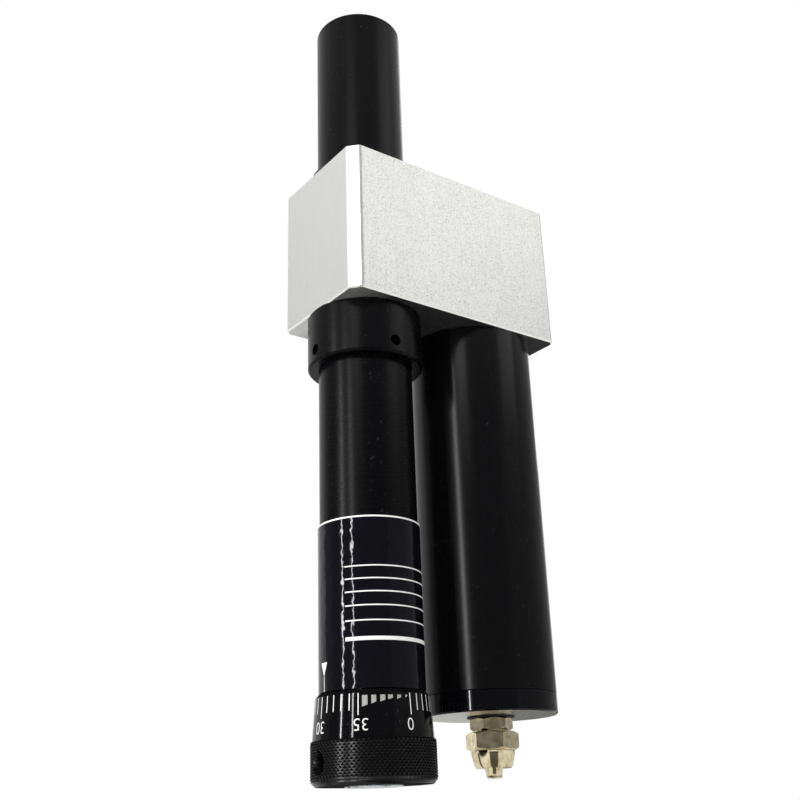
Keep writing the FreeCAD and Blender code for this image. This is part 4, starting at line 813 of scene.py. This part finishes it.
# The grip's dye, worn to grey on the knurl's points
knob_dye, tree, shader = finish("knurled_anodised", "#09090B", 0, 0.26, 0.25)
spot = node(tree, "TexCoord")
far = from_axis(tree, spot, REGULATOR)
crest = node(tree, "MapRange", {
    "Value": (far, "Value"), "From Min": (GRIP_RADIUS - WORN_DEPTH) * MM,
    "From Max": GRIP_RADIUS * MM})
rub = node(tree, "TexNoise", {
    "Vector": (spot, "Object"), "Scale": 1 / (WORN_PATCH * MM), "Detail": 4})
rubbed = node(tree, "MapRange", {"Value": (rub, "Fac"), "From Min": 0.35, "From Max": 0.75})
worn = node(tree, "Math", {0: (crest, 0), 1: (rubbed, 0)}, operation="MULTIPLY")
tone = node(tree, "Mix", {
    0: (worn, 0), 6: linear("#09090B"), 7: linear("#4C4C4E")}, data_type="RGBA")
rough = node(tree, "MapRange", {"Value": (rub, "Fac"), "To Min": 0.2, "To Max": 0.32})
wire(tree, shader, tone, rough)
dial.data.materials.clear()
for material in (knob_dye, cone_dye, foot_dye):
    dial.data.materials.append(material)
for face in dial.data.polygons:
    if face.center.z > (DIAL_FOOT + GRIP_HIGH) * MM:
        face.material_index = 1
    if face.normal.z < DOWNWARD or face.normal.z > SLOPING:
        face.material_index = 2
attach(dial, "dial")
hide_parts("adjusting_dial")

# The dial's print: a number every 44 degrees with five ticks to each, and a wedge of six
# stepped blocks. A few numbers stand a little off their ticks, as they were screened.
NUMBERS = 8
TICKS = 5
NUMBER_TURN = -86
NUMBER_STEP = 44
NUMBER_SHIFT = {0: -1.5, 30: -1.0, 35: 2.5}
NUMBER_LEVEL = -185.25
NUMBER_SIZE = 4.0
NUMBER_RADIUS = 20.8
DIGIT_SHARE = 0.7
STROKE_THIN = 0.05
CURVE_STEPS = 6
PRINT_RADIUS = 20.2
TICK_TOP = -175.45
TICK_FOOT = -182.5
MINOR_FOOT = -180.9
TICK_WIDTH = 0.34
WEDGE_TOP = -176.2
WEDGE = ((-134.7, -128.6, -179.55), (-125.8, -120.5, -178.7), (-117.4, -111.8, -178.15),
         (-109.8, -104.2, -177.5), (-100.6, -95.7, -177.3), (-91.7, -88.7, -176.8))
WEDGE_SHARE = 0.88
WEDGE_SLANT = 0.3
WEDGE_CUTS = 3
SCREEN_DOT = 0.4
marks = []
for count in range((NUMBERS - 1) * TICKS + 1):
    foot = MINOR_FOOT if count % TICKS else TICK_FOOT
    marks.append(patch_on("tick", NUMBER_TURN + count * NUMBER_STEP / TICKS, PRINT_RADIUS,
                          (TICK_TOP + foot) / 2, TICK_WIDTH, TICK_TOP - foot))
steps = []
for start, end, foot in WEDGE:
    middle = (start + end) / 2
    wide = math.radians(end - start) * CONE_HIGH[1] * WEDGE_SHARE
    step = patch_on("step", middle, PRINT_RADIUS, (WEDGE_TOP + foot) / 2,
                    wide, WEDGE_TOP - foot, WEDGE_CUTS)
    along = way_out(middle + 90)
    origin = around(middle, PRINT_RADIUS, 0)
    for corner in step.data.vertices:
        low_share = (WEDGE_TOP * MM - corner.co.z) / (WEDGE_TOP - foot)
        aside = (corner.co - origin).dot(along) / (wide * MM)
        corner.co.z += low_share * aside * 2 * WEDGE_SLANT
    steps.append(step)
for count in range(NUMBERS):
    bpy.ops.object.select_all(action="DESELECT")
    bpy.ops.object.text_add()
    number = bpy.context.object
    number.data.body = str(count * TICKS)
    number.data.size = NUMBER_SIZE * MM / DIGIT_SHARE
    number.data.align_x = "CENTER"
    number.data.align_y = "CENTER"
    number.data.resolution_u = CURVE_STEPS
    number.data.offset = -STROKE_THIN * MM
    bpy.ops.object.convert(target="MESH")
    number = bpy.context.object
    bpy.ops.object.mode_set(mode="EDIT")
    bpy.ops.mesh.select_all(action="SELECT")
    bpy.ops.mesh.remove_doubles(threshold=0.001 * MM)
    bpy.ops.mesh.subdivide(number_cuts=1)
    bpy.ops.object.mode_set(mode="OBJECT")
    turned = NUMBER_TURN + count * NUMBER_STEP + NUMBER_SHIFT.get(count * TICKS, 0)
    upside_down = Matrix.Rotation(math.pi, 4, "Z")
    number.data.transform(facing_out(turned, NUMBER_RADIUS, NUMBER_LEVEL) @ upside_down)
    marks.append(number)

# The steps of the wedge are printed as a fine screen, which reads as grey
screen_ink, tree, shader = finish("screened_ink", "#8F908B", 0, 0.5, 0.3)
spot = node(tree, "TexCoord")
dots = node(tree, "TexNoise", {
    "Vector": (spot, "Object"), "Scale": 1 / (SCREEN_DOT * MM), "Detail": 2})
tone = node(tree, "Mix", {
    0: (dots, "Fac"), 6: linear("#5E5F5B"), 7: linear("#B9BAB5")}, data_type="RGBA")
wire(tree, shader, tone)
scale = ink(marks, "dial_scale", dial, white_ink)
wedge = ink(steps, "dial_wedge", dial, screen_ink)
for printed in (scale, wedge):
    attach(printed, "dial")

# Piston rod. Ground steel, hard chromed, with a threaded hole and two spanner flats at its
# end. Only that end shows at rest; the rod comes out by 100 mm.
ROD_RADIUS = 6
ROD_TOP = 113.85
ROD_BEVEL = 1
ROD_EDGE = 0.1
TAIL_RADIUS = 4
TAIL_LENGTH = 20
ROD_HOLE = 2.5
ROD_HOLE_DEPTH = 10
ROD_HOLE_FLARE = 0.5
FLATS_HALF = 5
FLATS_HEIGHT = 4
CUTTER_WIDE = 30
CUTTER_THICK = 10
CUTTER_SPARE = 2
GRINDING_PITCH = 0.2
rod_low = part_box("piston_rod")[0][2] / MM
rod = turn("rod_chromed", REGULATOR, [
    (rod_low, TAIL_RADIUS), (rod_low + TAIL_LENGTH, TAIL_RADIUS),
    (rod_low + TAIL_LENGTH, ROD_RADIUS), (ROD_TOP - ROD_BEVEL, ROD_RADIUS),
    (ROD_TOP, ROD_RADIUS - ROD_BEVEL)])
rod_end = (*REGULATOR, ROD_TOP)
carve(rod, drill("rod_hole", rod_end, ROD_HOLE_DEPTH, ROD_HOLE, (0, 0, -1), ROD_HOLE_FLARE))
for way in (-1, 1):
    bpy.ops.object.select_all(action="DESELECT")
    aside = REGULATOR[1] + way * (FLATS_HALF + CUTTER_THICK / 2)
    level = ROD_TOP - FLATS_HEIGHT / 2 + CUTTER_SPARE / 2
    bpy.ops.mesh.primitive_cube_add(
        size=1, location=Vector((REGULATOR[0], aside, level)) * MM,
        scale=Vector((CUTTER_WIDE, CUTTER_THICK, FLATS_HEIGHT + CUTTER_SPARE)) * MM)
    carve(rod, bpy.context.object)
soften(rod, ROD_EDGE)

# Hard chrome, ground: near mirror, with very fine rings from the grinding wheel
chrome, tree, shader = finish("hard_chrome", "#CDD0D3", 1, 0.08)
spot = node(tree, "TexCoord")
rings = node(tree, "Mapping", {"Vector": (spot, "Object"), "Scale": (0.05, 0.05, 1)})
marks = node(tree, "TexNoise", {
    "Vector": (rings, 0), "Scale": 1 / (GRINDING_PITCH * MM), "Detail": 2})
rough = node(tree, "MapRange", {"Value": (marks, "Fac"), "To Min": 0.05, "To Max": 0.14})
relief = node(tree, "Bump", {"Height": (marks, "Fac"), "Strength": 0.08, "Distance": 0.01 * MM})
wire(tree, shader, rough=rough, relief=relief)
rod.data.materials.clear()
rod.data.materials.append(chrome)
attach(rod, "rod")
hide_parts("piston_rod")

# Air-oil tank. A black anodised aluminium tube that hangs from the block beside the
# regulator, closed below by a glossy black cap whose end face is left bare and turned.
TANK_TOP = -31.25
TANK_JOINT = -172.65
TANK_RADIUS = 25
TANK_BORE = 22
TANK_STEPS = 160
CAP_FOOT = -180.1
CAP_BEVEL = 0.5
CAP_BORE = 4.9
CAP_CREASE = 20
JOINT_GROOVE = 0.25
LATHE_RING = 0.35
tank = turn("tank_tube_turned", TANK, [
    (TANK_JOINT, TANK_BORE), (TANK_JOINT, TANK_RADIUS), (TANK_TOP, TANK_RADIUS),
    (TANK_TOP, TANK_BORE), (TANK_JOINT, TANK_BORE)], TANK_STEPS)
soften(tank, JOINT_GROOVE)
tank_dye = black_anodised("tank_anodised", "#0A0A0C", 0.17, 0.25, 0.112, 0.12)
tank.data.materials.append(tank_dye)
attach(tank, "housing")
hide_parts("tank_tube")

cap = turn("tank_cap_turned", TANK, [
    (CAP_FOOT, CAP_BORE), (CAP_FOOT, TANK_RADIUS - CAP_BEVEL),
    (CAP_FOOT + CAP_BEVEL, TANK_RADIUS), (TANK_JOINT - JOINT_GROOVE, TANK_RADIUS),
    (TANK_JOINT, TANK_RADIUS - JOINT_GROOVE), (TANK_JOINT, CAP_BORE),
    (CAP_FOOT, CAP_BORE)], TANK_STEPS)
smooth(cap, CAP_CREASE)
cap_dye = black_anodised("cap_gloss", "#08080B", 0.05, 0.1, 0.16, 0.03)

# Bare aluminium as the lathe left it: silver, with rings round the middle that spread the light
bare, tree, shader = finish("turned_bare_aluminium", "#9F9E9A", 1, 0.3)
spot = node(tree, "TexCoord")
far = from_axis(tree, spot, TANK)
rings = node(tree, "Math", {0: (far, "Value"), 1: 1 / (LATHE_RING * MM)}, operation="MULTIPLY")
marks = node(tree, "TexNoise", {
    "W": (rings, 0), "Scale": 1, "Detail": 3}, noise_dimensions="1D")
rough = node(tree, "MapRange", {"Value": (marks, "Fac"), "To Min": 0.2, "To Max": 0.42})
relief = node(tree, "Bump", {"Height": (marks, "Fac"), "Strength": 0.4, "Distance": 0.02 * MM})
wire(tree, shader, rough=rough, relief=relief)
cap.data.materials.append(cap_dye)
cap.data.materials.append(bare)
for face in cap.data.polygons:
    if face.normal.z < DOWNWARD:
        face.material_index = 1
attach(cap, "housing")
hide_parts("tank_cap")

# Air fitting. A nickel-plated brass push-on fitting: a hexagon that seals on a black washer,
# a hose stem, and the nut that clamps the hose on the stem.
BODY_TOP = -180.6
BODY_FOOT = -185.15
BODY_HALF = 7
BODY_EDGE = 0.15
NUT_TOP = -185.55
NUT_HEX_FOOT = -192.05
NUT_HALF = 8.5
NUT_ROOT = (-191.05, 8.1)
NUT_SHOULDER = (-193.05, 8.1)
NUT_WAIST = (-196.85, 7.2)
NUT_END = (-198.25, 6.5)
NUT_MOUTH = 4.1
NUT_FLOOR = -186.55
NUT_BORE = 6
NUT_TURN = 44
NUT_EDGE = 0.2
HEX_CREASE = 25
HEX_CHAMFER = 0.2
HEX_SLOPE = 0.58
HEX_SPARE = 0.01
STEM_RADIUS = 2.95
STEM_FOOT = -201.65
STEM_BEVEL = 0.3
STEM_TIP = -200.05
STEM_BARB = (-198.15, 3.4)
STEM_WAIST = 2.7
STEM_STEPS = 64
THREAD_FOOT = -191.55
THREAD_RADIUS = 5.9
AIR_RADIUS = 1.9
PLATED_RING = 0.3
TARNISH_PATCH = 2.5


def hexagon(name, low, high, half, turned):
    """A six-sided bar on the tank's axis, with its corners turned off at both ends."""
    bpy.ops.object.select_all(action="DESELECT")
    corner = half / math.cos(math.pi / 6)
    place = Vector((*TANK, (low + high) / 2)) * MM
    bpy.ops.mesh.primitive_cylinder_add(
        vertices=6, radius=corner * MM, depth=(high - low) * MM, location=place)
    bar = bpy.context.object
    bar.name = name
    bpy.ops.object.transform_apply(location=True, rotation=True, scale=True)
    middle = Matrix.Translation(place)
    bar.data.transform(middle @ Matrix.Rotation(math.radians(turned), 4, "Z") @ middle.inverted())
    flat, wide = half - HEX_CHAMFER, corner + HEX_SPARE
    tall = (corner - flat) * HEX_SLOPE
    trim = turn("trim", TANK, [(low, flat), (low + tall, wide), (high - tall, wide), (high, flat)])
    carve(bar, trim, "INTERSECT")
    return bar


# Nickel over brass: bright and a little warm, with soft turning rings and some tarnish
nickel, tree, shader = finish("nickel_plated_brass", "#C8BFA9", 1, 0.2)
spot = node(tree, "TexCoord")
rings = node(tree, "Mapping", {"Vector": (spot, "Object"), "Scale": (0.03, 0.03, 1)})
marks = node(tree, "TexNoise", {
    "Vector": (rings, 0), "Scale": 1 / (PLATED_RING * MM), "Detail": 3})
tarnish = node(tree, "TexNoise", {
    "Vector": (spot, "Object"), "Scale": 1 / (TARNISH_PATCH * MM), "Detail": 4})
clean = node(tree, "MapRange", {"Value": (tarnish, "Fac"), "From Min": 0.28, "From Max": 0.62})
tone = node(tree, "Mix", {
    0: (clean, 0), 6: linear("#B3A27B"), 7: linear("#E6DABA")}, data_type="RGBA")
rough = node(tree, "MapRange", {"Value": (marks, "Fac"), "To Min": 0.08, "To Max": 0.18})
relief = node(tree, "Bump", {"Height": (marks, "Fac"), "Strength": 0.15, "Distance": 0.02 * MM})
wire(tree, shader, tone, rough, relief)

body = hexagon("fitting_hexagon", BODY_FOOT, BODY_TOP, BODY_HALF, 0)
stem = turn("fitting_stem", TANK, [
    (STEM_FOOT, AIR_RADIUS), (STEM_FOOT, STEM_RADIUS - STEM_BEVEL),
    (STEM_FOOT + STEM_BEVEL, STEM_RADIUS), (STEM_TIP, STEM_RADIUS), STEM_BARB,
    (STEM_BARB[0], STEM_WAIST), (THREAD_FOOT, STEM_WAIST), (THREAD_FOOT, THREAD_RADIUS),
    (BODY_FOOT, THREAD_RADIUS), (BODY_FOOT, AIR_RADIUS), (STEM_FOOT, AIR_RADIUS)], STEM_STEPS)
soften(body, BODY_EDGE, HEX_CREASE)
smooth(stem)
only(body)
stem.select_set(True)
bpy.ops.object.join()
body.data.materials.clear()
body.data.materials.append(nickel)
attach(body, "housing")
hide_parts("fitting_body")

nut = hexagon("fitting_nut_turned", NUT_HEX_FOOT, NUT_TOP, NUT_HALF, NUT_TURN)
carve(nut, turn("skirt", TANK, [NUT_ROOT, NUT_SHOULDER, NUT_WAIST, NUT_END]), "UNION")
carve(nut, turn("mouth", TANK, [
    (NUT_END[0] - 1, NUT_MOUTH), (NUT_FLOOR, NUT_MOUTH), (NUT_FLOOR, NUT_BORE),
    (NUT_TOP + 1, NUT_BORE)]))
soften(nut, NUT_EDGE, HEX_CREASE)
nut.data.materials.clear()
nut.data.materials.append(nickel)
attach(nut, "housing")
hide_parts("fitting_nut")

# The other parts keep their solids and get their real finish: seals and rings, the steel and
# aluminium inside the tubes, and the small screws that show. Each slot has a material's name,
# its darker and lighter colour, metallic, roughness and specular.
GRAIN = 0.3
ROUGH_SPREAD = 0.06
FINISHES = {
    "black_anodised": ("anodised_part", "#0C0C0E", "#17171A", 0, 0.36, 0.15),
    "blasted_aluminium": ("blasted_part", "#BEBFBD", "#DADAD8", 1, 0.5, 0.5),
    "label_film": ("film_part", "#08080B", "#0B0B0E", 0, 0.14, 0.3),
    "cap_finish": ("cap_part", "#0A0A0D", "#101013", 0, 0.18, 0.3),
    "turned_aluminium": ("turned_aluminium", "#C6C7C6", "#DADAD8", 1, 0.3, 0.5),
    "turned_steel": ("turned_steel", "#9A9B9C", "#B7B8B8", 1, 0.3, 0.5),
    "honed_steel": ("honed_steel", "#A6A7A9", "#BFC0C1", 1, 0.22, 0.5),
    "chromed_rod": ("chromed_part", "#C9CCCF", "#D6D8DA", 1, 0.1, 0.5),
    "spring_steel": ("oiled_spring_steel", "#26262A", "#3B3A3C", 0.6, 0.38, 0.5),
    "zinc_steel": ("zinc_plated_steel", "#B4B9C0", "#CFD3D6", 1, 0.28, 0.5),
    "black_steel": ("blackened_steel", "#141416", "#242326", 0.3, 0.4, 0.5),
    "bronze": ("sintered_bronze", "#8F6B3D", "#AD8A57", 1, 0.42, 0.5),
    "copper": ("soft_copper", "#B87352", "#CB8A66", 1, 0.3, 0.5),
    "nickel_brass": ("nickel_part", "#B8AE96", "#D4CBB6", 1, 0.25, 0.5),
    "ptfe": ("filled_ptfe", "#4B5A52", "#5C6B62", 0, 0.45, 0.4),
    "polyurethane": ("polyurethane", "#2F5C8A", "#3A6A99", 0, 0.35, 0.5),
    "seal_rubber": ("nitrile_rubber", "#101011", "#1C1C1D", 0, 0.6, 0.3),
}
made_for = {}
for slot, (title, dark, light, metallic, roughness, specular) in FINISHES.items():
    made_for[slot], tree, shader = finish(title, dark, metallic, roughness, specular)
    spot = node(tree, "TexCoord")
    grain = node(tree, "TexNoise", {
        "Vector": (spot, "Object"), "Scale": 1 / (GRAIN * MM), "Detail": 3})
    tone = node(tree, "Mix", {
        0: (grain, "Fac"), 6: linear(dark), 7: linear(light)}, data_type="RGBA")
    rough = node(tree, "MapRange", {
        "Value": (grain, "Fac"),
        "To Min": roughness - ROUGH_SPREAD, "To Max": roughness + ROUGH_SPREAD})
    relief = node(tree, "Bump", {
        "Height": (grain, "Fac"), "Strength": 0.15, "Distance": 0.02 * MM})
    wire(tree, shader, tone, rough, relief)
for entry in frame["record"]["subparts"]:
    solid = frame["nodes"][entry["node"]]
    material = made_for[entry["material_slot"]]
    if not solid.material_slots:
        solid.data.materials.append(material)
    for place in solid.material_slots:
        place.material = material
